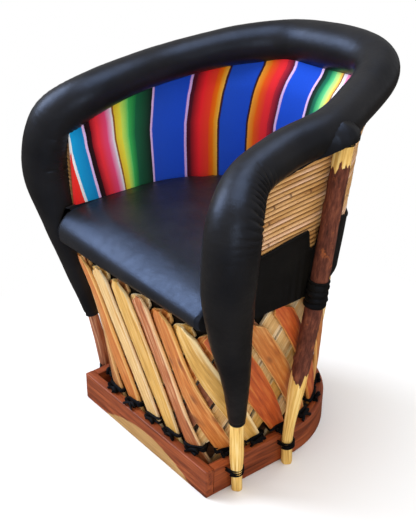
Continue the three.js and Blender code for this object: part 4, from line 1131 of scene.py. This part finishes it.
def cane_rows():
    """Thin canes laid one above another round the wall, and cut off where the roll begins."""
    shares = np.linspace(-LINING_REACH, 1 + LINING_REACH, 380)
    stations = np.linspace(0, 1, 60)
    tops = np.interp(np.clip(shares, 0, 1), stations, [under_roll(s, REED_HALF) for s in stations])
    beyond_front = (shares < 0) | (shares > 1)
    walked = shares * WALL_LENGTH
    rise = CANE_RISE * np.tanh(np.minimum(walked, walked[-1] - walked) / CANE_RISE_REACH)
    angles = np.linspace(-0.5 * math.pi, 0.5 * math.pi, 7)
    points, faces, grains, joints, gap_shades = [], [], [], [], []
    start = 0
    row = 0
    while CANE_FOOT + row * CANE_PITCH < tops.max():
        middle = CANE_FOOT + (row + 0.5) * CANE_PITCH + rise
        wobble = 0.5 * wander(shares * 9, row * 3.7)
        half = CANE_PITCH / 2 * (0.9 + 0.06 * hand_share(row * 11))
        deep = CANE_DEPTH + 0.7 * hand_share(row * 5 + 2)
        knots = [(0.03 + CANE_JOINT_SHARE * k + 0.12 * hand_share(row * 13 + k)) * WALL_LENGTH
                 for k in range(CANE_JOINTS)]
        swell = sum(np.exp(-((walked - knot) / 2.6) ** 2) for knot in knots)
        ring = []
        for angle in angles:
            up = np.sin(angle) * half * (1 + 0.05 * swell)
            out = np.cos(angle) * deep * (1 + 0.14 * swell) + REED_HALF - 5.6
            ring.append(wall_point(shares, middle + wobble + up, out))
        ring.append(wall_point(shares, middle + wobble + half * 0.9, -REED_HALF))
        ring.append(wall_point(shares, middle + wobble - half * 0.9, -REED_HALF))
        whole = np.stack(ring, 1)
        size = whole.shape[1]
        # Painted shade: each cane darkens towards its upper and lower sides, where it meets the next row
        edge = np.concatenate([np.abs(np.sin(angles)) ** 6, [1, 1]])
        face = wall_point(shares, middle, REED_HALF)
        to_roll = np.linalg.norm(face[:, None] - roll_centres[None], axis=-1)
        in_leg = beyond_front & ((to_roll - roll_radii[None]).min(1) < -9)
        for low, high in runs_of((middle < tops + 3) & (middle - half > WALL_FOOT) & ~in_leg):
            rings = whole[low:high]
            made = outward(rings, loft_faces(len(rings), size))
            faces += [tuple(start + k for k in corner) for corner in made]
            points.append(rings.reshape(-1, 3))
            along = np.broadcast_to(walked[low:high, None], rings.shape[:2])
            grains.append(stacked(along, np.arange(size) * 1.5 + row * 40, rings[..., 2]).reshape(-1, 3))
            joints.append(np.broadcast_to(np.clip(swell[low:high, None], 0, 1) ** 2, along.shape).ravel())
            gap_shades.append(np.broadcast_to(edge[None], along.shape).ravel())
            start += len(rings) * size
        row += 1
    values = {"grain": np.vstack(grains) * MM, "cane_joint": np.concatenate(joints),
              "cane_gap_shade": np.concatenate(gap_shades)}
    obj = piece("split_canes", np.vstack(points), faces, cane_material, values, sharp=50)
    return finish_piece(obj, "reed", "reed_wall")


cane_rows()


CAPE_REACH = 42  # along the roll and above the raw edge
CAPE_DROP = 25
CAPE_OUT = 37.5


def roll_hem():
    """The roll's leather ends in a raw edge that is tacked over the canes and the rear posts' heads."""
    shares = np.linspace(0.0, 1.0, 420)
    tops = np.interp(shares, shares[::6], [under_roll(s, REED_HALF, 0) for s in shares[::6]])
    walked = shares * WALL_LENGTH
    _, out = on_plan(wall_top_plan, shares)
    out = np.concatenate([out, np.zeros((len(out), 1))], 1)
    wall = wall_point(shares, tops, REED_HALF)
    post_at = np.abs(wall[:, 1] - POST_HEAD_Y) + 1000 * (wall[:, 1] > 120)
    over_post = np.zeros(len(shares))
    for half in (slice(0, 210), slice(210, 420)):
        middle = walked[half][post_at[half].argmin()]
        over_post += np.exp(-((walked - middle) / CAPE_REACH) ** 2)
    ragged = wander(walked / 26, 3.1) * 5 + wander(walked / 7, 9.4) * 2.4
    drop = 2 + 0.6 * ragged * (1 - 0.7 * over_post) - CAPE_DROP * over_post
    distance = np.linalg.norm(wall[:, None] - roll_centres[None], axis=-1)
    nearest = distance.argmin(1)
    centre, radius = roll_centres[nearest], roll_radii[nearest]
    tilt = lerp(-0.95, 0.75, over_post)
    direction = out * np.cos(tilt)[:, None] + UP * np.sin(tilt)[:, None]
    start = centre + direction * (radius - lerp(5, 2.6, over_post))[:, None]
    stand_off = 1.2 + CAPE_OUT * over_post
    end = wall_point(shares, tops - drop, REED_HALF + stand_off)
    knee = wall_point(shares, tops + 3 + CAPE_REACH * over_post, REED_HALF + stand_off + 1.5)
    steps = np.linspace(0, 1, 9)
    outer = np.stack([start * (1 - t) ** 2 + knee * 2 * t * (1 - t) + end * t ** 2 for t in steps], 1)
    puckers = np.sin(walked * 2 * math.pi / 13 + 2 * ragged / 5)[:, None] * steps[None] * 0.7
    outer = outer + out[:, None] * puckers[..., None]
    inner = outer - out[:, None] * 2.0 - UP * 0.5
    rings = np.concatenate([outer, inner[:, ::-1]], 1)
    return finish_piece(loft("roll_raw_edge", rings, roll_leather, sharp=60), "leather_black")


roll_hem()


# Skirt with its collars

def rear_post_line(side):
    """A crooked line from the base board up to the roll, past the skirt and the wall."""
    head_out = REED_HALF + 0.3 + REAR_POST_RADIUS
    seat_out = REED_HALF + 0.3 + 3 + 0.3 + REAR_POST_RADIUS

    def wall_half(height):
        return lerp(WALL_HALF_WIDTH, WALL_TOP_HALF_WIDTH, (height - WALL_FOOT) / (WALL_TOP - WALL_FOOT))

    top = REAR_POST_TOP - (LEFT_POST_DROP if side < 0 else 0)
    foot_x = BASE_HALF_WIDTH + BASE_CLEARANCE + REAR_POST_FOOT_RADIUS
    seat_height = lerp(COLLAR_FOOT, COLLAR_TOP, 0.75)
    seat_x = wall_half(seat_height) + seat_out
    rows = [
        (foot_x, -10, 0), (foot_x, -12, BOARD_HEIGHT), (lerp(foot_x, seat_x, 0.5), 2, REAR_POST_KNEE_HEIGHT),
        (seat_x, POST_SEAT_Y, seat_height),
        (wall_half(SKIRT_TOPS["post"]) + seat_out, lerp(POST_SEAT_Y, POST_HEAD_Y, 0.4), SKIRT_TOPS["post"]),
        (wall_half(REAR_POST_TOP) + head_out, POST_HEAD_Y, top),
    ]
    return through([(side * x, y, z) for x, y, z in rows], 30)


def rear_radius(height):
    share = smooth(height, BOARD_HEIGHT, REAR_POST_KNEE_HEIGHT * 0.75)
    return lerp(REAR_POST_FOOT_RADIUS, REAR_POST_RADIUS, share)


def skirt():
    """A band of leather round the foot of the wall, with a turned hem along its top."""
    shares = np.linspace(-LINING_REACH, 1 + LINING_REACH, 440)
    from_front = np.minimum(shares, 1 - shares) * 2
    to_post = smooth(from_front, 0, 0.36)
    to_back = smooth(from_front, 0.36, 0.72)
    top = lerp(lerp(SKIRT_TOPS["leg"], SKIRT_TOPS["post"], to_post), SKIRT_TOPS["back"], to_back)
    top = top + 1.5 * wander(shares * 22, 0.5)
    # Beside each rear post the band is cut away, and the canes show
    top = top - SKIRT_NOTCH * np.exp(-((np.minimum(shares, 1 - shares) - 0.16) / 0.0115) ** 6)
    levels = np.concatenate([np.linspace(0, 0.93, 26), [0.95, 0.965, 0.98, 0.992, 1.0]])
    heights = SKIRT_FOOT + (top[:, None] - SKIRT_FOOT) * levels[None]
    grid = np.broadcast_to(shares[:, None], heights.shape)
    inside = REED_HALF + 0.4
    flat = wall_point(grid, heights, inside)
    # A turned hem 5 mm tall, and soft puckers that run up from the collars
    hem = 1.3 * smooth(levels, 0.94, 0.965) * (1 - smooth(levels, 0.992, 1.0))
    near_post = np.exp(-((from_front[:, None] - 0.36) / 0.12) ** 2)
    puckers = 0.9 * near_post * np.sin(grid * WALL_LENGTH * 2 * math.pi / 16)
    face = 2.7 + hem[None] + 0.9 * rough(flat, 45, 12) + puckers * (1 - levels[None])
    outer = wall_point(grid, heights, inside + face)
    rings = np.concatenate([outer, flat[:, ::-1]], 1)
    obj = loft("leather_skirt", rings, skirt_leather, sharp=70)
    return finish_piece(obj, "leather_black", "seat_skirt")


def collar(side):
    """Leather drawn round a rear post and tied with two turns, so that it bunches into rings."""
    run = Run(rear_post_line(side))
    heights = np.linspace(COLLAR_FOOT, COLLAR_TOP, 70)
    zs = run.place(np.linspace(0, 1, 800))[:, 2]
    shares = np.interp(heights, zs, np.linspace(0, 1, 800))
    centre = run.place(shares)
    level = (heights - COLLAR_FOOT) / (COLLAR_TOP - COLLAR_FOOT)
    folds = 3.4 * np.abs(np.sin(level * math.pi * 4.3 + 0.4)) ** 0.8 * (1 - 0.35 * level)
    radius = rear_radius(heights) + 1.2 + folds
    radius[0] = radius[-1] = rear_radius(heights[0]) - 0.5
    rings = tube_rings(centre, radius, 36)
    bulge = rough(rings, 16, 20 + side) * 1.8 + rough(rings, 7, 24 + side) * 0.8
    away = rings - centre[:, None]
    rings = centre[:, None] + away * (1 + bulge / radius[:, None])[..., None]
    return finish_piece(loft(f"collar_{hand(side)}", rings, skirt_leather, sharp=70), "leather_black")


skirt()
for side in (1, -1):
    collar(side)


# Posts

def under_side(points):
    """How high a point may stand before it meets the roll from below."""
    flat = np.asarray(points, float).reshape(-1, 3)
    high = roll_centres[:, 2] > 600
    centres, radii = roll_centres[high], roll_radii[high]
    apart = np.linalg.norm(flat[:, None, :2] - centres[None, :, :2], axis=-1)
    nearest = apart.argmin(1)
    apart = apart[np.arange(len(flat)), nearest]
    rise = np.sqrt(np.maximum(radii[nearest] ** 2 - apart ** 2, 0))
    roof = np.where(apart < radii[nearest], centres[nearest, 2] - rise + 2, POST_REACH)
    return np.minimum(roof, POST_REACH).reshape(np.shape(points)[:-1])


def rear_post(side):
    """A crooked branch: bark on its upper length, pared at the foot, stripped and frayed at the head."""
    line = rear_post_line(side)
    line = Run(np.vstack([line, line[-1] + unit(line[-1] - line[-2]) * POST_HEAD_LENGTH]))
    shares = np.linspace(0, 1, 260)
    centre = line.place(shares)
    centre[0, 2] = 0
    radius = rear_radius(centre[:, 2])
    sides = 40
    rings = tube_rings(centre, radius, sides)
    away = rings - centre[:, None]
    z = centre[:, 2][:, None]
    angle = full_circle(sides)[None]
    across, deep = np.cos(angle) * 17, np.sin(angle) * 17
    spikes = rough(stacked(across, deep, z * 0.12), 5, 41 + side)
    bark = (smooth(z, FOOT_BARK_FROM, FOOT_BARK_FROM + BARK_BORDER)
            * (1 - smooth(z, HEAD_BARK_FROM, HEAD_BARK_FROM + BARK_BORDER / 2)))
    ridge = rough(rings * [1, 1, 0.35], 9, 31 + side)
    lump = rough(rings, 45, 33 + side)
    facets = 0.5 * np.cos(angle * 5 + z / 40) * (1 - bark)
    grow = 0.8 * ridge * bark + 0.9 * lump + facets - 0.6
    # Stubs of cut twigs
    for stub_z, stub_angle in TWIG_STUBS:
        spread = ((z - stub_z) / 7) ** 2 + (np.angle(np.exp(1j * (angle - stub_angle))) / 0.3) ** 2
        grow = grow + TWIG_STUB_HEIGHT * np.exp(-spread)
    # Splinters stand out where the bark was torn off
    torn = smooth(z, HEAD_BARE_FROM, HEAD_BARE_FROM + BARK_BORDER / 2)
    grow = grow + SPLINTER_HEIGHT * torn * spikes
    rings = centre[:, None] + away * (1 + grow / radius[:, None])[..., None]
    rings[..., 2] = np.minimum(rings[..., 2], under_side(rings))
    rings[0, :, 2] = 0
    uneven = z + 30 * spikes
    bare = np.maximum(1 - smooth(uneven, FOOT_BARE_FROM, FOOT_BARE_FROM + BARK_BORDER),
                      smooth(uneven, HEAD_BARE_FROM, HEAD_BARE_FROM + BARK_BORDER * 0.75))
    grain = stacked(across, (shares * line.length)[:, None], deep + side * 90)
    values = {"grain": grain.reshape(-1, 3) * MM, "bare": (bare - 0.02).ravel()}
    obj = loft(f"rear_branch_{hand(side)}", rings, bark_material, values, sharp=60)
    return finish_piece(obj, "bark_wood", f"rear_post_{hand(side)}")


def front_post_foot(side):
    """The bare end of the front pole, below the leather, trimmed with a knife."""
    shares = np.linspace(0, roll_from + 0.03, 90)
    if side > 0:
        shares = 1 - shares
    centre = core_run.place(shares)
    centre[0, 2] = 0
    sides = 24
    rings = tube_rings(centre, FRONT_POST_RADIUS, sides)
    away = rings - centre[:, None]
    angle = full_circle(sides)[None]
    z = centre[:, 2][:, None]
    grow = 0.5 * np.cos(angle * 4 + z / 60) + 0.8 * rough(rings, 40, 50 + side) - 0.8
    if side > 0:
        grow = grow + 2.4 * smooth(z, 30, 90)
    rings = centre[:, None] + away * (1 + grow / FRONT_POST_RADIUS)[..., None]
    rings[0, :, 2] = 0
    walked = np.abs(shares - shares[0])[:, None] * core_run.length
    grain = stacked(np.cos(angle) * 12, walked, np.sin(angle) * 12 + side * 70)
    values = {"grain": grain.reshape(-1, 3) * MM, "bare": np.full(len(centre) * sides, 0.9)}
    # The left pole gets the darker copy of the pared wood: painted shade
    material = bark_material if side > 0 else pole_painted_shade
    obj = loft(f"front_pole_{hand(side)}", rings, material, values, sharp=60)
    return finish_piece(obj, "peeled_wood", f"front_post_{hand(side)}")


for side in (1, -1):
    rear_post(side)
    front_post_foot(side)


# Thongs

KNOTS_AT_CORNER = (3, 4, 15, 16)
TURNS = 3
TIE_PITCH = 3.6
LASHING_PITCH = 5.4
LASHING_LOWEST = BOARD_HEIGHT - 21


def strap(name, points, width, thickness, *nodes):
    """A leather thong along points: a flat strip with rounded edges."""
    rings = points[:, None] + round_about(points, 10, width, thickness)
    return finish_piece(loft(name, rings, thong_leather, sharp=70), "thong", *nodes)


def base_knot(number):
    """Two feet bound where they cross on the board: turns of thong, and a lumpy knot with loose ends."""
    place = number + 0.5
    along = unit(round_step(place, KNOT_HEIGHT))
    out = np.array([along[1], -along[0], 0.0])
    middle = lattice_point(place, KNOT_HEIGHT, 0)
    outer_half, inner_half = (SLAT_WIDTH * FOOT_WIDTH_SHARES[layer] / 2 / math.cos(LEAN_ANGLE)
                              for layer in ("outer", "inner"))
    turns = []
    deep = -LAYER_SPACING - SLAT_THICKNESS
    for turn in range(TURNS):
        rise = 1.5 + turn * TIE_PITCH + 0.8 * hand_share(number * 9 + turn)
        tilt = 2.5 * hand_share(number * 5 + turn * 3)
        # Across the outer slat's face, round its edge and back behind the inner slat: sideways, out, up
        for sideways, outward_by, lift in (
                (-outer_half * 0.55, 2.4, 0), (0, 2.9, 0.3), (outer_half * 0.55, 2.4, 0.5),
                (outer_half + 1.5, 1.2, 0.6), (outer_half + 2.2, -5, 0.7), (inner_half + 3, deep - 1, 0.8),
                (inner_half * 0.5, deep - 2.6, 1), (-inner_half * 0.5, deep - 2.6, 1),
                (-inner_half - 3, deep - 1, 0.8), (-outer_half - 2.2, -5, 0.4),
                (-outer_half - 1.5, 1.2, 0.2)):
            turns.append(middle + along * sideways + out * outward_by
                         + UP * (rise + lift * 3 + tilt * sideways / outer_half))
    tie = strap(f"base_tie_{number + 1:02d}", through(turns, 3), 6.4, 3.0)
    size = 1.25 if number in KNOTS_AT_CORNER else 1 + 0.12 * hand_share(number * 3)
    phase = 2.6 * hand_share(number * 17)
    t = np.linspace(0, 2 * math.pi * 2, 110)
    lump = (middle + out * 6.5 + UP * 0.5
            + along * ((10.5 * np.sin(t) + 3.4 * np.sin(2.5 * t + phase)) * size)[:, None]
            + out * ((4.4 * np.cos(1.5 * t + phase) + 1.6) * size)[:, None]
            + UP * ((5.4 * np.cos(t * 1.5 + phase) + 3.0 * np.sin(3 * t)) * size)[:, None])
    ends = []
    for way in (-1, 1):
        start = lump[0 if way < 0 else -1]
        ends.append(start + along * way * 6 + out * 4 - UP)
        ends.append(start + along * way * (13 + 3 * hand_share(number * 7 + way)) + out * 7 - UP * 6)
    lump = np.vstack([ends[1], ends[0], lump, ends[2], ends[3]])
    lump[:, 2] = np.maximum(lump[:, 2], BOARD_HEIGHT + 2.2)
    strap(f"base_knot_{number + 1:02d}", through(lump, 2), 7.2, 4.8)
    return tie


ties = [base_knot(number) for number in range(PAIRS)]
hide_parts("base_thong")


def post_lashing(side, radius, centre_y, end):
    """A thong wound three times round a post and through the board."""
    x = side * (BASE_HALF_WIDTH + BASE_CLEARANCE + radius)
    reach = radius + 2.2
    inside = BASE_HALF_WIDTH - BOARD_THICKNESS + 2.5
    turns = []
    for turn in range(TURNS):
        z0 = LASHING_LOWEST + turn * LASHING_PITCH
        for i in range(9):
            angle = -math.pi / 2 + math.pi * i / 8
            across, along = side * reach * math.cos(angle), reach * math.sin(angle)
            turns.append((x + across, centre_y + along, z0 + i * 0.3))
        turns += [(side * (inside + 3), centre_y + reach, z0 + 3),
                  (side * inside, centre_y + reach - 3, z0 + 3.4),
                  (side * inside, centre_y - reach + 3, z0 + 4.6),
                  (side * (inside + 3), centre_y - reach, z0 + 5)]
    return strap(f"{end}_tie_{hand(side)}", through(turns, 4), 5.6, 3.0, f"lashing_{end}_{hand(side)}")


front_low, front_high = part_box("lashing_front_right")
rear_low, rear_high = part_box("lashing_rear_right")
front_y = ((front_low.y + front_high.y) / 2 - SHIFT[1]) / MM
rear_y = ((rear_low.y + rear_high.y) / 2 - SHIFT[1]) / MM
for side in (1, -1):
    post_lashing(side, FRONT_POST_RADIUS, front_y, "front")
    post_lashing(side, REAR_POST_FOOT_RADIUS, rear_y, "rear")


# Seat

def pad_back_at(x, height):
    """How far back the cushion reaches at x, just inside the lining."""
    level = (height - WALL_FOOT) / (WALL_TOP - WALL_FOOT)
    inner = LINING_OUT - LINING_THICKNESS - PAD_CLEARANCE
    arc_start = lerp(WALL_ARC_START, WALL_TOP_ARC_START, level)
    half = lerp(WALL_HALF_WIDTH, WALL_TOP_HALF_WIDTH, level) + inner
    back = lerp(WALL_BACK, WALL_TOP_BACK, level) + inner
    inside = min(abs(x) / half, 1)
    return arc_start + (back - arc_start) * math.sqrt(1 - inside * inside)


def resampled(rows, count):
    """A closed outline with its corners cut round, as evenly spaced points."""
    points = np.array(rows, float)
    for _ in range(3):
        after = np.roll(points, -1, 0)
        points = np.stack([points * 0.75 + after * 0.25, points * 0.25 + after * 0.75], 1).reshape(-1, 2)
    run = Run(np.vstack([points, points[:1]]))
    return run.place(np.linspace(0, 1, count, endpoint=False))


PAD_UNDER = -(HEAD_FRONT - LAYER_SPACING - SLAT_THICKNESS) - 3.3  # just before the slats' heads


def seat_slice(x, back_at, lip):
    """The cushion's outline at x, from its back edge along its foot, up over the lip and back."""
    crown = PAD_CROWN * (1 - 0.8 * min(abs(x) / PAD_HALF_FRONT, 1) ** 3)
    front = -PAD_FRONT_REACH + 5 * (1 - lip)
    hem = lerp(*PAD_HEMS, float(smooth(x, -PAD_HALF_FRONT, PAD_HALF_FRONT)))
    edge = back_at(PAD_TOP) - 2
    lip_end = front + PAD_LIP_ROUND
    rows = [
        (back_at(PAD_FOOT), PAD_FOOT), (PAD_UNDER + 4, PAD_FOOT), (PAD_UNDER, hem + 6), (PAD_UNDER - 6, hem),
        (front + PAD_LIP_ROUND * 0.1, hem), (front + PAD_LIP_ROUND * 0.02, lerp(hem, PAD_TOP, 0.15)),
        (front, lerp(hem, PAD_TOP, 0.4)), (front + PAD_LIP_ROUND * 0.1, PAD_TOP - PAD_LIP_ROUND * 0.5),
        (front + PAD_LIP_ROUND * 0.45, PAD_TOP - PAD_LIP_ROUND * 0.14),
        (front + PAD_LIP_ROUND * 1.15, PAD_TOP + crown * 0.3),
        (lerp(lip_end, edge, 0.3), PAD_TOP + crown), (lerp(lip_end, edge, 0.7), PAD_TOP + crown),
        (edge - 12, PAD_TOP + crown * 0.4), (edge, PAD_TOP - 2), (back_at(PAD_TOP - 12), PAD_TOP - 12),
    ]
    return resampled(rows, 96)


def seat_cushion():
    """Leather over a firm pad, rolled over the front hoop and hanging as a short flap."""
    inner_half = WALL_HALF_WIDTH + LINING_OUT - LINING_THICKNESS - PAD_CLEARANCE - PAD_WING
    xs = inner_half * np.sin(np.linspace(-math.pi / 2, math.pi / 2, 121))
    # Before the lining's edges the flap runs on to both sides
    wing = [(inner_half + PAD_WING, 1), (lerp(inner_half, PAD_HALF_FRONT, 0.6), 0.7),
            (PAD_HALF_FRONT - 1, 0.3), (PAD_HALF_FRONT, 0.1)]
    slices = [(-x, lambda h: PAD_UNDER + 3, lip) for x, lip in reversed(wing)]
    slices += [(x, (lambda h, x=x: pad_back_at(x, h)), 1) for x in xs]
    slices += [(x, lambda h: PAD_UNDER + 3, lip) for x, lip in wing]
    rings = []
    for x, back_at, lip in slices:
        outline = seat_slice(x, back_at, lip)
        rings.append(np.concatenate([np.full((len(outline), 1), x), outline], 1))
    rings = np.array(rings)
    soft = rough(rings, 70, 14) * 0.8 + rough(rings, 26, 15) * 0.25
    rings[..., 2] += soft * smooth(rings[..., 2], PAD_TOP - 26, PAD_TOP)
    obj = loft("seat_cushion", rings, seat_leather, sharp=70)
    held = 1 - smooth(rings[..., 2], 404, 450)
    held = np.maximum(held, smooth(np.abs(rings[..., 0]), inner_half - 8, inner_half))
    plump(obj, 2.0, 4.0, held.ravel())
    return finish_piece(obj, "leather_black", "seat_pad")


seat_cushion()


# Hidden and plain pieces keep their solids

for node, material in (("foot_hoop", hoop_wood), ("seat_hoop", skirt_leather), ("rim_hoop", core_wood),
                       ("seat_sling", rawhide)):
    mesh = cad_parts[node].data
    mesh.materials.clear()
    mesh.materials.append(material)


# Studio

FLOOR_REACH = 6.0
FLOOR_GAP = 0.0005
SHADOW_FADES = (0.3, 0.75)  # metres from the chair's middle
SKY_LIGHT = 0.64
SKY_GLOSS_DROP = 0.34


def studio():
    floor_material, tree, paper = surface("pale_floor")
    paper.inputs["Roughness"].default_value = 0.9
    paper.inputs["Specular IOR Level"].default_value = 0.1
    # The paper is white to the eye and to soft light, and dim in the leather's gloss. Away from the chair it
    # is plain white, so that only the shadow near the chair shows
    path = add(tree, "ShaderNodeLightPath")
    sheet = mix_tones(tree, path.outputs["Is Glossy Ray"], colour("#fafaf9"), colour("#4c4640"))
    tree.links.new(sheet, paper.inputs["Base Color"])
    place = add(tree, "ShaderNodeNewGeometry").outputs["Position"]
    flat = add(tree, "ShaderNodeVectorMath", {0: place, 1: (1, 1, 0)}, operation="MULTIPLY")
    away = add(tree, "ShaderNodeVectorMath", {0: flat.outputs["Vector"]}, operation="LENGTH")
    beyond = add(tree, "ShaderNodeMapRange", {"Value": away.outputs["Value"], "From Min": SHADOW_FADES[0],
                                              "From Max": SHADOW_FADES[1]}, interpolation_type="SMOOTHSTEP")
    fades = reckon(tree, "MULTIPLY", beyond.outputs["Result"], path.outputs["Is Camera Ray"])
    white = add(tree, "ShaderNodeEmission", {"Color": (1, 1, 1, 1), "Strength": 1.0})
    blend = add(tree, "ShaderNodeMixShader",
                {0: fades, 1: paper.outputs["BSDF"], 2: white.outputs["Emission"]})
    tree.links.new(blend.outputs["Shader"], tree.nodes["Material Output"].inputs["Surface"])
    mesh = bpy.data.meshes.new("floor")
    around = [(x * FLOOR_REACH, y * FLOOR_REACH, 0) for x, y in ((-1, -1), (1, -1), (1, 1), (-1, 1))]
    mesh.from_pydata(around, [], [(0, 1, 2, 3)])
    mesh.materials.append(floor_material)
    floor = bpy.data.objects.new("floor", mesh)
    floor.location.z = -FLOOR_GAP
    bpy.context.scene.collection.objects.link(floor)

    world = bpy.data.worlds.new("studio")
    world.use_nodes = True
    bpy.context.scene.world = world
    tree = world.node_tree
    background = tree.nodes["Background"]
    path = add(tree, "ShaderNodeLightPath")
    # The eye sees a white sky; its light is softer, and softer still in glossy surfaces
    seen = reckon(tree, "MAXIMUM", path.outputs["Is Camera Ray"], path.outputs["Is Transmission Ray"])
    plain = ranged(tree, seen, 0.0, 1.0, SKY_LIGHT, 1.0)
    strength = reckon(tree, "MULTIPLY_ADD", path.outputs["Is Glossy Ray"], -SKY_GLOSS_DROP, plain)
    tree.links.new(strength, background.inputs["Strength"])
    background.inputs["Color"].default_value = (1, 1, 1, 1)

    def lamp(name, place, aim, size, power, tint):
        data = bpy.data.lights.new(name, "AREA")
        data.shape = "DISK"
        data.size = size
        data.energy = power
        data.color = colour(tint)[:3]
        obj = bpy.data.objects.new(name, data)
        obj.location = place
        obj.rotation_euler = (Vector(aim) - Vector(place)).to_track_quat("-Z", "Y").to_euler()
        bpy.context.scene.collection.objects.link(obj)

    lamp("window_light", (-1.9, -1.5, 2.4), (0, 0, 0.5), 2.0, 96, "#eaf2ff")
    lamp("room_light", (2.3, -1.3, 1.5), (0, 0, 0.3), 1.2, 16, "#fff4e6")
    lamp("ceiling_light", (0.1, 0.0, 2.9), (0, 0, 0.4), 2.0, 46, "#f4f8ff")


studio()


# Camera at the photograph's view, from the fit of the chair's outline

PHOTO_WIDTH = 416
PHOTO_HEIGHT = 531
FOCAL_PIXELS = 1032.27
PITCH = 31.93
AZIMUTH = 52.24
PRINCIPAL = (193.21, 319.1)
CAMERA_PLACE = (1415.93, -1174.62, 1375.39)
SENSOR = 36


def camera():
    data = bpy.data.cameras.new("photo_view")
    data.sensor_width = SENSOR
    data.sensor_fit = "AUTO"
    data.lens = FOCAL_PIXELS / PHOTO_HEIGHT * SENSOR
    data.shift_x = (PHOTO_WIDTH / 2 - PRINCIPAL[0]) / PHOTO_HEIGHT
    data.shift_y = -(PHOTO_HEIGHT / 2 - PRINCIPAL[1]) / PHOTO_HEIGHT
    pitch, azimuth = math.radians(PITCH), math.radians(AZIMUTH)
    level = math.cos(pitch)
    looking = Vector((-math.sin(azimuth) * level, math.cos(azimuth) * level, -math.sin(pitch)))
    obj = bpy.data.objects.new("photo_view", data)
    obj.location = Vector(np.array(CAMERA_PLACE) * MM + SHIFT)
    obj.rotation_euler = looking.to_track_quat("-Z", "Y").to_euler()
    bpy.context.scene.collection.objects.link(obj)
    bpy.context.scene.camera = obj


camera()
bpy.context.scene.view_settings.view_transform = "Standard"
